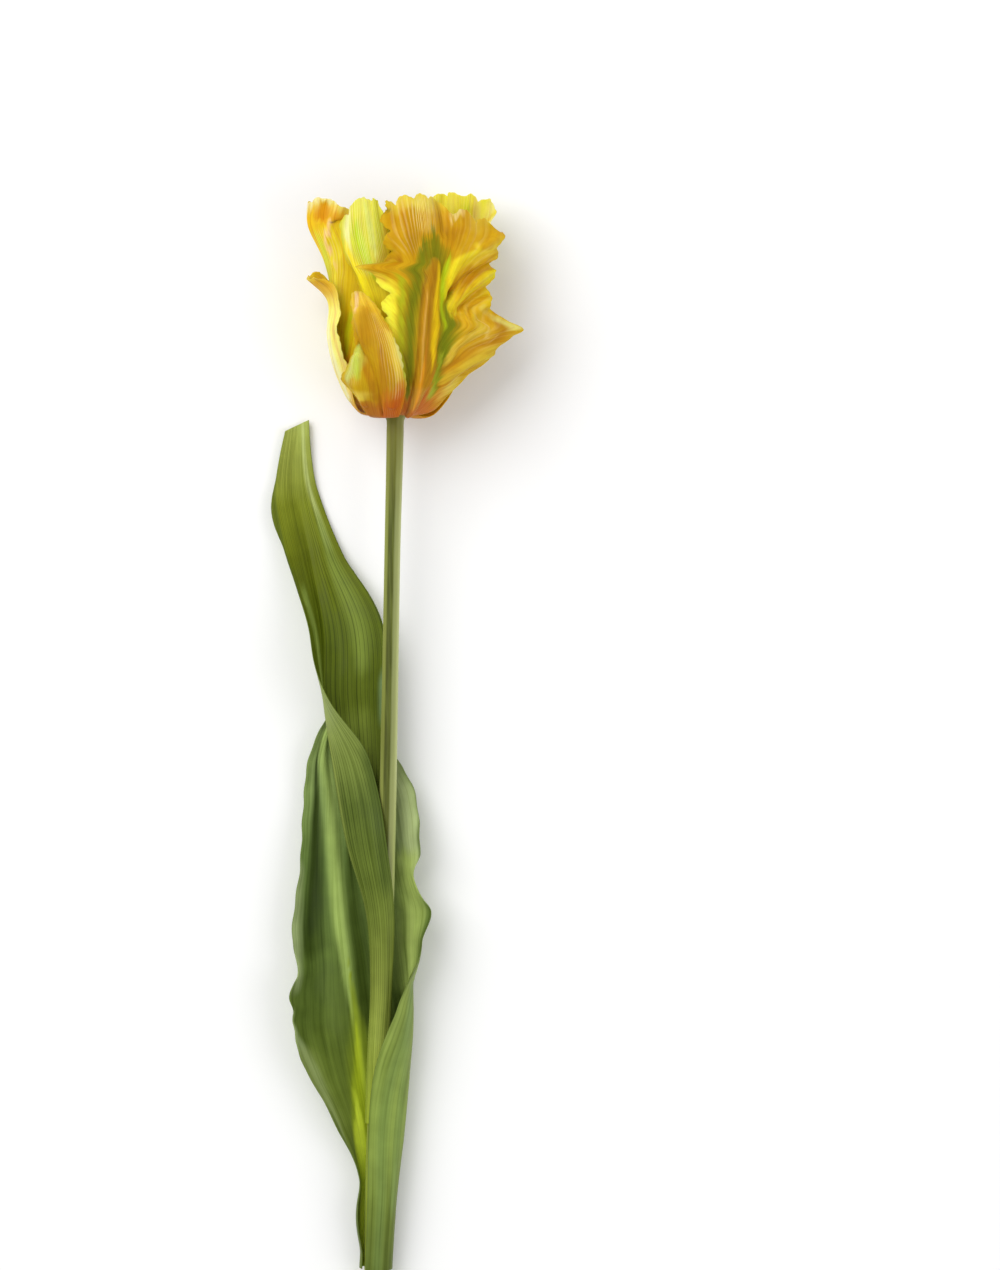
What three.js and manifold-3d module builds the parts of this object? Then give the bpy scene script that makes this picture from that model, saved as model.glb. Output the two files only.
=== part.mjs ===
// A parrot tulip, picked and lying on a surface: a stem with two clasping leaves and one fringed bloom.
// Millimetres. +X runs across the flower, +Y along the stem to the bloom, and +Z up from the surface.
// The flower is laid out from the top of its stem, where the petals grow, and moved as a whole at the end,
// so that the middle of its footprint lies at the origin.
import * as THREE from "three";
import { mergeVertices } from "three/addons/utils/BufferGeometryUtils.js";
import Module from "manifold-3d";

const wasm = await Module();
wasm.setup();

const { clamp, degToRad, smoothstep } = THREE.MathUtils;

// ---------------------------------------------------------------- driving dimensions

const STEM_LENGTH = 364; // from the cut end to the bloom
const STEM_RADIUS = 3.15; // halfway up
const RECEPTACLE_RADIUS = 4.3; // the top of the stem, which carries the bloom
const RECEPTACLE_TOP = 2.6;
const PETAL_THICKNESS = 0.7;
const LEAF_THICKNESS = 0.8;
const GAP = 0.3; // between two pieces that touch

const BLOOM_REST = 25.2; // height of the bloom's root above the surface
const BLOOM_LIFT = 3.2; // degrees that the stem and the bloom rise from the surface
const BLOOM_LEAN = -2.6; // degrees that the bloom leans to the right

// ---------------------------------------------------------------- materials and nodes

const petalYellow = new THREE.MeshStandardMaterial({ color: 0xd9a91c, roughness: 0.5, metalness: 0 });
const leafGreen = new THREE.MeshStandardMaterial({ color: 0x6d8f3a, roughness: 0.55, metalness: 0 });
const stemGreen = new THREE.MeshStandardMaterial({ color: 0x8b9c50, roughness: 0.5, metalness: 0 });
const pistilGreen = new THREE.MeshStandardMaterial({ color: 0xb7c26a, roughness: 0.5, metalness: 0 });
const antherBrown = new THREE.MeshStandardMaterial({ color: 0x3a2a1c, roughness: 0.8, metalness: 0 });

function part(name, geometry, material) {
  const mesh = new THREE.Mesh(geometry, material);
  mesh.name = name;
  return mesh;
}

// ---------------------------------------------------------------- curves and sheets

// A smooth curve through evenly spaced values, read at u from 0 to 1.
function through(values, u) {
  const last = values.length - 1;
  const place = clamp(u, 0, 1) * last;
  const i = Math.min(Math.floor(place), last - 1);
  const f = place - i;
  const [a, b, c, d] = [i - 1, i, i + 1, i + 2].map((k) => values[clamp(k, 0, last)]);
  return b + 0.5 * f * (c - a + f * (2 * a - 5 * b + 4 * c - d + f * (3 * (b - c) + d - a)));
}

// A rounded bump, 1 at its middle and 0 past its span.
function bump(distance, span) {
  const share = clamp(Math.abs(distance) / span, 0, 1);
  return (1 - share * share) ** 2;
}

// A row of sharp notches between rounded teeth, one to each whole number.
function notch(place) {
  return 1 - Math.abs(Math.sin(Math.PI * place));
}

// Where a blade is at u along it, from root to tip, and v across it, from its left margin (-1) to its right
// (1). Each side leaves the midrib at its fold and bends evenly by its turn, in degrees, towards its face if
// positive.
function bladePoint(blade, u, v) {
  const up = u * blade.end(v);
  const mid = blade.mid(up);
  const along = blade.mid(up + 0.01).sub(blade.mid(up - 0.01)).normalize();
  const roll = degToRad(through(blade.roll, up));
  const side = new THREE.Vector3(Math.cos(roll), 0, Math.sin(roll));
  const face = side.cross(along).normalize();
  const across = along.clone().cross(face);

  const half = v < 0 ? blade.left : blade.right;
  const lobes = (half.lobes ?? []).reduce((sum, [at, span, length]) => sum + length * bump(up - at, span), 0);
  const reach = Math.abs(v) * (through(half.width, up) + lobes + blade.fringe(up, Math.sign(v)));
  const fold = degToRad(through(half.fold ?? [0, 0], up));
  const turn = degToRad(through(half.turn, up)) * Math.abs(v) + 1e-6;
  const normal = face.clone().multiplyScalar(Math.cos(fold + turn));
  normal.addScaledVector(across, -Math.sign(v) * Math.sin(fold + turn));

  return mid
    .addScaledVector(across, (Math.sign(v) * reach * (Math.sin(fold + turn) - Math.sin(fold))) / turn)
    .addScaledVector(face, (reach * (Math.cos(fold) - Math.cos(fold + turn))) / turn)
    .addScaledVector(normal, blade.wave(up, v));
}

// A closed sheet of even thickness over a surface point(u, v), split into triangles alike on both faces.
function sheet(point, rows, columns, thickness) {
  const positions = [];
  const step = 1e-3;
  for (const facing of [0.5, -0.5])
    for (let j = 0; j <= rows; j++)
      for (let i = 0; i <= columns; i++) {
        const u = clamp(j / rows, step, 1 - step);
        const v = clamp((2 * i) / columns - 1, step - 1, 1 - step);
        const lengthwise = point(u + step, v).sub(point(u - step, v));
        const crosswise = point(u, v + step).sub(point(u, v - step));
        const normal = crosswise.cross(lengthwise).normalize();
        positions.push(...point(j / rows, (2 * i) / columns - 1).addScaledVector(normal, facing * thickness));
      }

  const index = [];
  const quad = (a, b, c, d) => index.push(a, b, c, a, c, d);
  const back = (rows + 1) * (columns + 1);
  const at = (j, i) => j * (columns + 1) + i;
  for (let j = 0; j < rows; j++)
    for (let i = 0; i < columns; i++) {
      const [a, b, c, d] = [at(j, i), at(j, i + 1), at(j + 1, i + 1), at(j + 1, i)];
      quad(a, b, c, d);
      index.push(back + a, back + c, back + b, back + a, back + d, back + c);
    }
  for (let j = 0; j < rows; j++) {
    quad(at(j + 1, 0), back + at(j + 1, 0), back + at(j, 0), at(j, 0));
    quad(at(j, columns), back + at(j, columns), back + at(j + 1, columns), at(j + 1, columns));
  }
  for (let i = 0; i < columns; i++) {
    quad(at(0, i), back + at(0, i), back + at(0, i + 1), at(0, i + 1));
    quad(at(rows, i + 1), back + at(rows, i + 1), back + at(rows, i), at(rows, i));
  }
  const geometry = new THREE.BufferGeometry();
  geometry.setAttribute("position", new THREE.Float32BufferAttribute(positions, 3));
  geometry.setIndex(index);
  geometry.computeVertexNormals();
  return geometry;
}

// ---------------------------------------------------------------- the bloom's own frame

// Across, up and out of the bloom, as seen from in front: its axis is +Y, and +Z faces away from the surface.
const bloomFrame = new THREE.Matrix4()
  .makeRotationFromEuler(new THREE.Euler(degToRad(BLOOM_LIFT), 0, degToRad(BLOOM_LEAN), "XYZ"))
  .setPosition(0, 0, BLOOM_REST);

// ---------------------------------------------------------------- petals

// A petal's profile is [distance from the axis, height] from root to tip, and its azimuth turns from the
// front (0) to the right (90). Widths are from the midrib to each margin. A lobe is [place up the petal, span,
// length], and teeth set in between the two places of "toothed". A tip's shoulder lowers its right side, or
// its left side if it is negative.
const ROOT = RECEPTACLE_RADIUS + GAP; // how far from the axis the petals grow

const petals = {
  petal_front_right: {
    azimuth: [26, 26],
    profile: [[ROOT, 1.1], [15.5, 2.8], [25.5, 18], [28.5, 42], [28.5, 66], [22, 87]],
    left: {
      width: [2.4, 10, 17, 19.5, 19.5, 20, 20],
      turn: [-10, -16, -24, -38, -42, -40, -38, -38, -38, -36, -34],
      lobes: [[0.727, 0.022, 8], [0.717, 0.032, 5], [0.69, 0.05, 3]],
      toothed: [0.3, 0.6],
    },
    right: {
      width: [3, 7, 10, 13, 21, 25, 25.5, 28, 31, 31.5, 28],
      turn: [-20, -10, -12, -8, -12, -16],
      lobes: [[0.55, 0.07, 12.5], [0.554, 0.024, 4], [0.47, 0.09, 6.5]],
      toothed: [0.6, 0.66],
    },
    teeth: { depth: 3, count: 14, phase: 0.2 },
    tip: { drop: 0.05, depth: 0.03, count: 3, phase: 0.1, shoulder: 0.055 },
    ruffle: { height: 1.4, count: 3.2, slant: 1, phase: 0.3 },
  },
  petal_front_left: {
    azimuth: [-6, -6, -8, -14, -28, -38],
    profile: [[ROOT, 2.3], [12, 4.2], [20.5, 19], [24, 40], [25.2, 62], [25, 86]],
    left: { width: [3, 5, 6, 6, 6, 6, 7, 9, 13, 17, 16], turn: [-20, -15, -30, -25, -30, -38] },
    right: { width: [3, 7, 11, 13, 11, 7], turn: [-20, -15, -40, -40, -40, -40] },
    teeth: { depth: 1.4, count: 9, phase: 0.5 },
    tip: { drop: 0.08, depth: 0.03, count: 1.2, phase: 0.64, shoulder: -0.015 },
    ruffle: { height: 0.8, count: 3, slant: 0.5, phase: 0.1 },
  },
  petal_right: {
    azimuth: [80, 80],
    profile: [[ROOT, 2.3], [12, 4.2], [20.5, 19], [24, 40], [24.5, 60], [23, 78]],
    left: { width: [3, 7, 12, 14, 14, 9], turn: [-20, -15, -45, -45, -42, -40] },
    right: { width: [3, 7, 12, 14, 13, 9], turn: [-20, -15, -45, -45, -42, -40] },
    teeth: { depth: 1.4, count: 9, phase: 0.3 },
    tip: { drop: 0.08, depth: 0.03, count: 2, phase: 0.3, shoulder: 0 },
    ruffle: { height: 0.8, count: 3, slant: 0.5, phase: 0.5 },
  },
  petal_left: {
    azimuth: [-88, -88, -89, -90, -90, -88, -84],
    profile: [
      [ROOT, 2.1], [11.5, 3.6], [19.5, 14.5], [23.5, 29], [26.2, 45], [30.5, 60], [37.5, 74], [37, 86],
    ],
    left: { width: [3, 8, 12, 12.5, 13, 8], turn: [-20, -15, -50, -45, -40, -50] },
    right: {
      width: [3, 9, 17, 21, 18, 19],
      fold: [0, 0, 0, -12, -42, -46],
      turn: [-20, -15, -58, -70, -58, -54],
    },
    teeth: { depth: 1.4, count: 9, phase: 0.1 },
    tip: { drop: 0.045, depth: 0.01, count: 2.5, phase: 0.2, shoulder: -0.05 },
    ruffle: { height: 0.8, count: 3, slant: 0.5, phase: 0.6 },
  },
  petal_back_left: {
    azimuth: [-168, -164, -158, -156, -156, -156],
    profile: [[ROOT, 2.1], [12, 3.8], [20, 19], [23.2, 40], [24, 60], [22.5, 76]],
    left: { width: [3, 8, 15, 17, 17, 12], turn: [-20, -15, -50, -45, -40, -40] },
    right: { width: [3, 8, 13, 14, 14, 10], turn: [-20, -15, -50, -45, -40, -40] },
    teeth: { depth: 1.4, count: 9, phase: 0.7 },
    tip: { drop: 0.1, depth: 0.03, count: 3, phase: 0.2, shoulder: 0 },
    ruffle: { height: 0.8, count: 3, slant: 0.5, phase: 0.2 },
  },
  petal_back_right: {
    azimuth: [128, 132, 135, 136, 137, 138],
    profile: [[ROOT, 1], [15, 1.2], [25, 18], [28, 43], [28.5, 66], [26, 90]],
    left: { width: [3, 7.5, 17, 22, 23, 28], turn: [-20, -12, -45, -40, -25, -5] },
    right: { width: [3, 10, 18, 21, 22, 16], turn: [-20, -12, -50, -45, -42, -40] },
    teeth: { depth: 1.8, count: 9, phase: 0.4 },
    tip: { drop: 0.06, depth: 0.022, count: 2.6, phase: 0.6, shoulder: 0 },
    ruffle: { height: 1.2, count: 3.4, slant: 0.7, phase: 0.8 },
  },
  petal_short_left: {
    azimuth: [-108, -98, -93, -92, -91, -88],
    profile: [[ROOT, 1], [14, 1.2], [23, 14], [27.8, 30], [28.3, 44], [37, 53]],
    left: { width: [3, 9, 15, 17, 16, 12], turn: [-20, -12, -45, -40, -40, -50] },
    right: { width: [2.4, 8, 15, 18.5, 17, 9], turn: [-20, -12, -45, -38, -36, -50] },
    teeth: { depth: 1, count: 7, phase: 0.3 },
    tip: { drop: 0.06, depth: 0.015, count: 2, phase: 0.1, shoulder: 0 },
    ruffle: { height: 0.6, count: 2, slant: 0.4, phase: 0.4 },
  },
  petal_short_front: {
    azimuth: [-45, -34, -27, -26, -27, -30],
    profile: [[ROOT, 0.6], [15, 0.3], [25.8, 12], [30.3, 27], [32, 38], [33, 48]],
    left: {
      width: [2.4, 3, 3, 5, 9.5, 7.2, 3.4, 4.6, 5.4, 5, 3.5],
      turn: [-20, -10, -10, -15, -40, -50],
      lobes: [[0.41, 0.08, 2]],
    },
    right: { width: [2.6, 11, 17, 15, 9.2, 3.6], turn: [-20, -10, -22, -18, -30, -50] },
    teeth: { depth: 0.5, count: 7, phase: 0.3 },
    tip: { drop: 0.08, depth: 0.01, count: 2, phase: 0.4, shoulder: 0 },
    ruffle: { height: 0.5, count: 2, slant: 0.4, phase: 0.4 },
  },
};

// A blade for a petal: the sheet's rule in the bloom's own frame.
function petalBlade({ azimuth, profile, left, right, teeth, tip, ruffle }) {
  const radii = profile.map(([radius]) => radius);
  const heights = profile.map(([, height]) => height);
  return {
    left,
    right,
    roll: azimuth.map((angle) => -angle),
    mid: (u) => {
      const angle = degToRad(through(azimuth, u));
      const radius = through(radii, u);
      return new THREE.Vector3(radius * Math.sin(angle), through(heights, u), radius * Math.cos(angle));
    },
    end: (v) => {
      const lowered = tip.shoulder * smoothstep(v, 0.05, 0.3) - Math.min(tip.shoulder, 0);
      return 1 - tip.drop * v * v - lowered - tip.depth * notch(tip.count * v + tip.phase);
    },
    fringe: (u, side) => {
      const [low, high] = (side < 0 ? left : right).toothed ?? [0.25, 0.5];
      return -teeth.depth * smoothstep(u, low, high) * notch(teeth.count * u + teeth.phase * (1 + side));
    },
    wave: (u, v) =>
      ruffle.height * smoothstep(u, 0.1, 0.6) * v * v *
      Math.sin(2 * Math.PI * (ruffle.count * u - ruffle.slant * Math.abs(v) + ruffle.phase)),
  };
}

const PETAL_ROWS = 28;
const PETAL_COLUMNS = 10;

function petalMesh(name, petal) {
  const blade = petalBlade(petal);
  const point = (u, v) => {
    const place = bladePoint(blade, u, v).applyMatrix4(bloomFrame);
    place.z = Math.max(place.z, PETAL_THICKNESS / 2); // pressed flat where it meets the surface
    return place;
  };
  return part(name, sheet(point, PETAL_ROWS, PETAL_COLUMNS, PETAL_THICKNESS), petalYellow);
}

// ---------------------------------------------------------------- stem

const STEM_BENDS = [-8.3, -8.2, -6.6, -4.9, -3.3, -2.2, -1.2, 0]; // how far to the side, from the cut end up
const STEM_RADII = [1.43, 1.4, 1.3, 1.18, 1.08, 1.02, 1, 1.08]; // times the radius halfway up
const RECEPTACLE = [
  [3.5, -1],
  [RECEPTACLE_RADIUS, 0.3],
  [RECEPTACLE_RADIUS, RECEPTACLE_TOP - 0.2],
  [RECEPTACLE_RADIUS - 0.3, RECEPTACLE_TOP],
]; // [radius, height]
const STEM_SIDES = 20;
const STEM_ROWS = 14;

function stemCentre(y) {
  const slope = Math.tan(degToRad(BLOOM_LIFT));
  return new THREE.Vector3(through(STEM_BENDS, 1 + y / STEM_LENGTH), y, BLOOM_REST + slope * y);
}

function stemGeometry() {
  const profile = [new THREE.Vector2(0, -STEM_LENGTH)];
  for (let i = 0; i < STEM_ROWS; i++) {
    const u = i / STEM_ROWS;
    profile.push(new THREE.Vector2(STEM_RADIUS * through(STEM_RADII, u), (u - 1) * STEM_LENGTH));
  }
  for (const [radius, y] of RECEPTACLE) profile.push(new THREE.Vector2(radius, y));
  profile.push(new THREE.Vector2(0, RECEPTACLE_TOP));

  const geometry = new THREE.LatheGeometry(profile, STEM_SIDES);
  const positions = geometry.getAttribute("position");
  const place = new THREE.Vector3();
  for (let i = 0; i < positions.count; i++) {
    place.fromBufferAttribute(positions, i);
    const height = place.y;
    place.setY(0).add(stemCentre(height));
    positions.setXYZ(i, place.x, place.y, place.z);
  }
  return geometry;
}

// ---------------------------------------------------------------- leaves

// A leaf's spine is [across, along, up] from where it clasps the stem to its tip.
const leaves = {
  lower_leaf: {
    spine: [
      [-8.4, -338, 1.1], [-7.6, -310, 2], [-5, -284, 1.4], [-4.5, -262, 0.3], [-5, -240, 0.3],
      [-8, -218, 0.6], [-12, -196, 1], [-15, -174, 1.6], [-17.5, -152, 2.4], [-19.5, -130, 3],
      [-19.7, -107, 4],
    ],
    roll: [0, 0, 0, 0, 0, 0, 0, 0, 0, 0, 0],
    left: {
      width: [12.5, 11, 23, 35.7, 42, 37.6, 32.2, 26.9, 20.3, 16, 1.5],
      turn: [120, 105, 75, 60, 55, 50, 50, 45, 40, 40, 40],
      lobes: [
        [0.475, 0.035, 2.5], [0.53, 0.035, -1.6], [0.39, 0.06, -1.5], [0.2, 0.06, 1.5], [0.075, 0.05, 4.5],
      ],
    },
    right: {
      width: [24, 27.4, 31.4, 34.5, 33, 29, 33, 31, 27, 17, 1.5],
      turn: [215, 209, 227, 208, 165, 100, 75, 62, 45, 35, 35],
      lobes: [[0.64, 0.055, -6], [0.56, 0.05, 1.5], [0.5, 0.04, 3], [0.72, 0.05, 1.2]],
    },
    ruffle: { height: 1.5, count: 4.5, phase: 0.1 },
    slant: 0,
  },
  upper_leaf: {
    spine: [
      [-12.1, -280, 9.6], [-11, -252, 11.2], [-9.9, -224, 12.8], [-11.7, -196, 13.5], [-19.6, -168, 12.9],
      [-24.6, -140, 13.5], [-28.6, -112, 13], [-29.2, -84, 9], [-34.3, -56, 3], [-39.6, -28, 0],
      [-39.3, 0, 1.2],
    ],
    roll: [-90, -90, -90, -85, -75, -60, -30, -8, 5, 10, 10],
    left: {
      width: [11.9, 11.6, 11.8, 14.4, 19, 17, 16, 12, 10.5, 9.5, 4.5],
      fold: [0, 0, 0, 15, 50, 75, 60, 45, 40, 30, 20],
      turn: [140, 140, 150, 110, 50, 40, 20, 10, 5, 5, 5],
      lobes: [[0.83, 0.12, 0.6], [0.868, 0.05, 2]],
    },
    right: {
      width: [11.9, 11.6, 11.8, 12, 16.5, 22, 25.5, 24, 13, 8, 4.5],
      fold: [0, 0, 0, 25, 43, 50, 25, 8, 0, 0, 0],
      turn: [140, 140, 150, 85, 40, 10, 10, 5, 5, 5, 5],
    },
    ruffle: { height: 1, count: 4, phase: 0.4 },
    slant: 0.012,
  },
};

const LEAF_ROWS = 36;
const LEAF_COLUMNS = 14;

function leafMesh(name, { spine, roll, left, right, ruffle, slant }) {
  const [xs, ys, zs] = [0, 1, 2].map((axis) => spine.map((knot) => knot[axis]));
  const blade = {
    left,
    right,
    roll,
    mid: (u) => new THREE.Vector3(through(xs, u), through(ys, u), through(zs, u)),
    end: (v) => 1 - slant * (1 - v),
    fringe: () => 0,
    wave: (u, v) => {
      const swing = Math.sin(2 * Math.PI * (ruffle.count * u + ruffle.phase));
      return ruffle.height * smoothstep(u, 0.2, 0.5) * v * v * swing;
    },
  };
  const point = (u, v) => {
    const place = bladePoint(blade, u, v);
    place.z = Math.max(place.z, LEAF_THICKNESS / 2); // pressed flat where it meets the surface
    return place;
  };
  return part(name, sheet(point, LEAF_ROWS, LEAF_COLUMNS, LEAF_THICKNESS), leafGreen);
}

// ---------------------------------------------------------------- pistil and stamens, hidden in the cup

const PISTIL = [
  [0, 0], [2.1, 0], [2.3, 2], [3.2, 6], [3.4, 13], [2.9, 18], [2.2, 20], [3.6, 22], [3.2, 23.4], [0, 23],
]; // [radius, height above its foot]
const PISTIL_FOOT = RECEPTACLE_TOP + GAP;
const PISTIL_SIDES = 18;
const STAMENS = 6;
const STAMEN_SIDES = 5;
const STAMEN_LEAN = 13; // degrees from the pistil
const COLLAR = { radius: 3.5, thickness: 0.55 }; // the ring that the stamens stand on
const COLLAR_HEIGHT = PISTIL_FOOT + COLLAR.thickness;
const FILAMENT = { length: 10, root: 0.95, top: 0.7 };
const ANTHER = { length: 13, radius: 1.7 };

// Three-sided, with three lobes at the top.
function pistilGeometry() {
  const profile = PISTIL.map(([radius, height]) => new THREE.Vector2(radius, PISTIL_FOOT + height));
  const geometry = new THREE.LatheGeometry(profile, PISTIL_SIDES);
  const positions = geometry.getAttribute("position");
  for (let i = 0; i < positions.count; i++) {
    const [x, y, z] = [positions.getX(i), positions.getY(i), positions.getZ(i)];
    const swell = 1 + 0.14 * smoothstep(y, 5, 20) * Math.cos(3 * Math.atan2(x, z));
    positions.setXYZ(i, x * swell, y, z * swell);
  }
  return geometry.applyMatrix4(bloomFrame);
}

function solidOf(geometry) {
  const bare = new THREE.BufferGeometry().setAttribute("position", geometry.getAttribute("position"));
  bare.setIndex(geometry.index);
  const merged = mergeVertices(bare, 1e-4);
  return new wasm.Manifold(
    new wasm.Mesh({
      numProp: 3,
      vertProperties: merged.getAttribute("position").array,
      triVerts: new Uint32Array(merged.index.array),
    }),
  );
}

function geometryOf(solid) {
  const { vertProperties, triVerts } = solid.getMesh();
  const geometry = new THREE.BufferGeometry();
  geometry.setAttribute("position", new THREE.BufferAttribute(vertProperties, 3));
  geometry.setIndex(new THREE.BufferAttribute(triVerts, 1));
  geometry.computeVertexNormals();
  return geometry;
}

// Each filament is sunk in the collar, and each anther sits over the top of its filament.
function stamensGeometry() {
  const collar = new THREE.TorusGeometry(COLLAR.radius, COLLAR.thickness, STAMEN_SIDES, 3 * STAMENS);
  const solids = [solidOf(collar.rotateX(Math.PI / 2).translate(0, COLLAR_HEIGHT, 0))];
  for (let i = 0; i < STAMENS; i++) {
    const place = new THREE.Matrix4()
      .makeRotationY((i * 2 * Math.PI) / STAMENS)
      .multiply(new THREE.Matrix4().makeTranslation(0, COLLAR_HEIGHT, COLLAR.radius))
      .multiply(new THREE.Matrix4().makeRotationX(degToRad(STAMEN_LEAN)));
    const filament = new THREE.CylinderGeometry(FILAMENT.top, FILAMENT.root, FILAMENT.length, STAMEN_SIDES);
    const anther = new THREE.SphereGeometry(ANTHER.radius, STAMEN_SIDES, STAMEN_SIDES);
    anther.scale(1, ANTHER.length / (2 * ANTHER.radius), 0.8);
    solids.push(solidOf(filament.translate(0, FILAMENT.length / 2, 0).applyMatrix4(place)));
    solids.push(solidOf(anther.translate(0, FILAMENT.length + ANTHER.length * 0.4, 0).applyMatrix4(place)));
  }
  return geometryOf(wasm.Manifold.union(solids)).applyMatrix4(bloomFrame);
}

// ---------------------------------------------------------------- assembly

const flower = new THREE.Group();
flower.add(part("stem", stemGeometry(), stemGreen));
for (const [name, leaf] of Object.entries(leaves)) flower.add(leafMesh(name, leaf));
for (const [name, petal] of Object.entries(petals)) flower.add(petalMesh(name, petal));
flower.add(part("pistil", pistilGeometry(), pistilGreen));
flower.add(part("stamens", stamensGeometry(), antherBrown));

const bounds = new THREE.Box3().setFromObject(flower);
const middle = bounds.getCenter(new THREE.Vector3());
for (const mesh of flower.children) mesh.geometry.translate(-middle.x, -middle.y, -bounds.min.z);

export default flower;
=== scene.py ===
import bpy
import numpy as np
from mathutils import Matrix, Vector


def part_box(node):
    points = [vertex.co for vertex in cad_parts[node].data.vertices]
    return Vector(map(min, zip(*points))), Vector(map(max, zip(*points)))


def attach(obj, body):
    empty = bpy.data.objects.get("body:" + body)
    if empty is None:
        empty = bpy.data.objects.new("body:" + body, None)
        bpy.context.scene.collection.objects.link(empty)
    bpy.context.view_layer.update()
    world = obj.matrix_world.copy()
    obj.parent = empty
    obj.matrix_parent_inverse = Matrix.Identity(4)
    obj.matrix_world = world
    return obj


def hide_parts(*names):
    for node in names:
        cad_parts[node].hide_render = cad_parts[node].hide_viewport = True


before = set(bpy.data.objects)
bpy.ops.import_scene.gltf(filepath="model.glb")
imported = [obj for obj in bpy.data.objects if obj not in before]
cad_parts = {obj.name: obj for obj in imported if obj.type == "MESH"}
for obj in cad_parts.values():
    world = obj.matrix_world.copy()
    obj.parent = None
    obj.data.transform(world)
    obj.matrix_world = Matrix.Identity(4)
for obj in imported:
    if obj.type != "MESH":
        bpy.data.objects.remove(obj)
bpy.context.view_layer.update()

# A parrot tulip, picked and lying on a surface: a stem, two clasping leaves and one fringed bloom.
# +X runs across the flower, +Y along the stem to the bloom and +Z up. Sizes are in millimetres, and places
# are measured from the top of the stem, where the petals grow, until placed() turns them into metres.

# ---------------------------------------------------------------- stem
# The scape is a solid juicy stalk, a little thicker at its cut end, with a thin waxy skin over faint ribs.
# It swells into the receptacle, where the petals grow. It is one skin swept along the stalk's gentle bends.

STEM_LENGTH = 364
STEM_RADIUS = 3.15
RECEPTACLE_RADIUS = 4.3
RECEPTACLE_TOP = 2.6
BLOOM_REST = 25.2  # height of the bloom's root above the surface
BLOOM_LIFT = 3.2  # degrees that the stem and the bloom rise
STEM_BENDS = [-8.3, -8.2, -6.6, -4.9, -3.3, -2.2, -1.2, 0]  # how far it stands to the side, from the cut up
STEM_RADII = [1.43, 1.4, 1.3, 1.18, 1.08, 1.02, 1, 1.08]  # over STEM_RADIUS, from the cut up
CUT_EDGE = [(0.2, 0), (0.93, 0.02), (1, 0.25)]  # share of the radius, and height above the cut
SHOULDER = [  # radius and height up the receptacle's outline
    (3.35, -3.4), (3.45, -1.6), (3.85, -0.6), (4.2, 0), (RECEPTACLE_RADIUS, 0.6), (RECEPTACLE_RADIUS, 1.8),
    (4.15, 2.3), (3.7, 2.55), (2, RECEPTACLE_TOP), (0.3, RECEPTACLE_TOP),
]

stem_low, stem_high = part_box("stem")
TO_FRAME = np.array([1e3 * stem_high.x - RECEPTACLE_RADIUS, 1e3 * stem_low.y + STEM_LENGTH, 0])


def placed(points):
    """Points measured from the top of the stem in millimetres, as places in the frame in metres."""
    return (np.asarray(points, float) + TO_FRAME) / 1e3


def through(values, u):
    """A smooth curve through evenly spaced values, read at u from 0 to 1."""
    table = np.asarray(values, float)
    last = len(table) - 1
    place = np.clip(u, 0, 1) * last
    i = np.minimum(np.floor(place).astype(int), last - 1)
    f = place - i
    a, b, c, d = (table[np.clip(i + k, 0, last)] for k in (-1, 0, 1, 2))
    if table.ndim > 1:
        f = f[..., None]
    return b + 0.5 * f * (c - a + f * (2 * a - 5 * b + 4 * c - d + f * (3 * (b - c) + d - a)))


def colour(text):
    """A colour from its six-figure code."""
    parts = np.array([int(text[i:i + 2], 16) for i in (0, 2, 4)]) / 255
    return [*np.where(parts > 0.04045, ((parts + 0.055) / 1.055) ** 2.4, parts / 12.92), 1]


def new_object(name, data):
    """An object of some data, in the scene."""
    made = bpy.data.objects.new(name, data)
    bpy.context.scene.collection.objects.link(made)
    return made


def node(tree, kind, joins=None, **settings):
    """One node with its settings. Each input is set to a value, or joined to another node or its output."""
    made = tree.nodes.new(kind)
    for name, value in settings.items():
        setattr(made, name, value)
    for name, value in (joins or {}).items():
        if isinstance(value, bpy.types.Node):
            value = value.outputs[0]
        if isinstance(value, bpy.types.NodeSocket):
            tree.links.new(value, made.inputs[name])
        else:
            made.inputs[name].default_value = value
    return made


def maths(tree, operation, a, b=0.0):
    """One step of arithmetic."""
    return node(tree, "ShaderNodeMath", {0: a, 1: b}, operation=operation)


def ranged(tree, value, low, high, start=0.0, end=1.0, **settings):
    """A value between low and high, spread from start to end."""
    joins = {"Value": value, "From Min": low, "From Max": high, "To Min": start, "To Max": end}
    return node(tree, "ShaderNodeMapRange", joins, **settings)


def noise(tree, place, scales, detail):
    """Soft noise at a place, finer along an axis with a larger scale."""
    drawn = node(tree, "ShaderNodeMapping", {"Vector": place, "Scale": scales})
    return node(tree, "ShaderNodeTexNoise", {"Vector": drawn, "Scale": 1.0, "Detail": detail})


def mixed(tree, share, first, second, blend="MIX"):
    """Two colours mixed by a share."""
    joins = {0: share, 6: first, 7: second}
    return node(tree, "ShaderNodeMix", joins, data_type="RGBA", blend_type=blend).outputs[2]


def parts_of(tree, vector):
    """A vector's X, Y and Z."""
    return node(tree, "ShaderNodeSeparateXYZ", {"Vector": vector}).outputs


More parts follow.
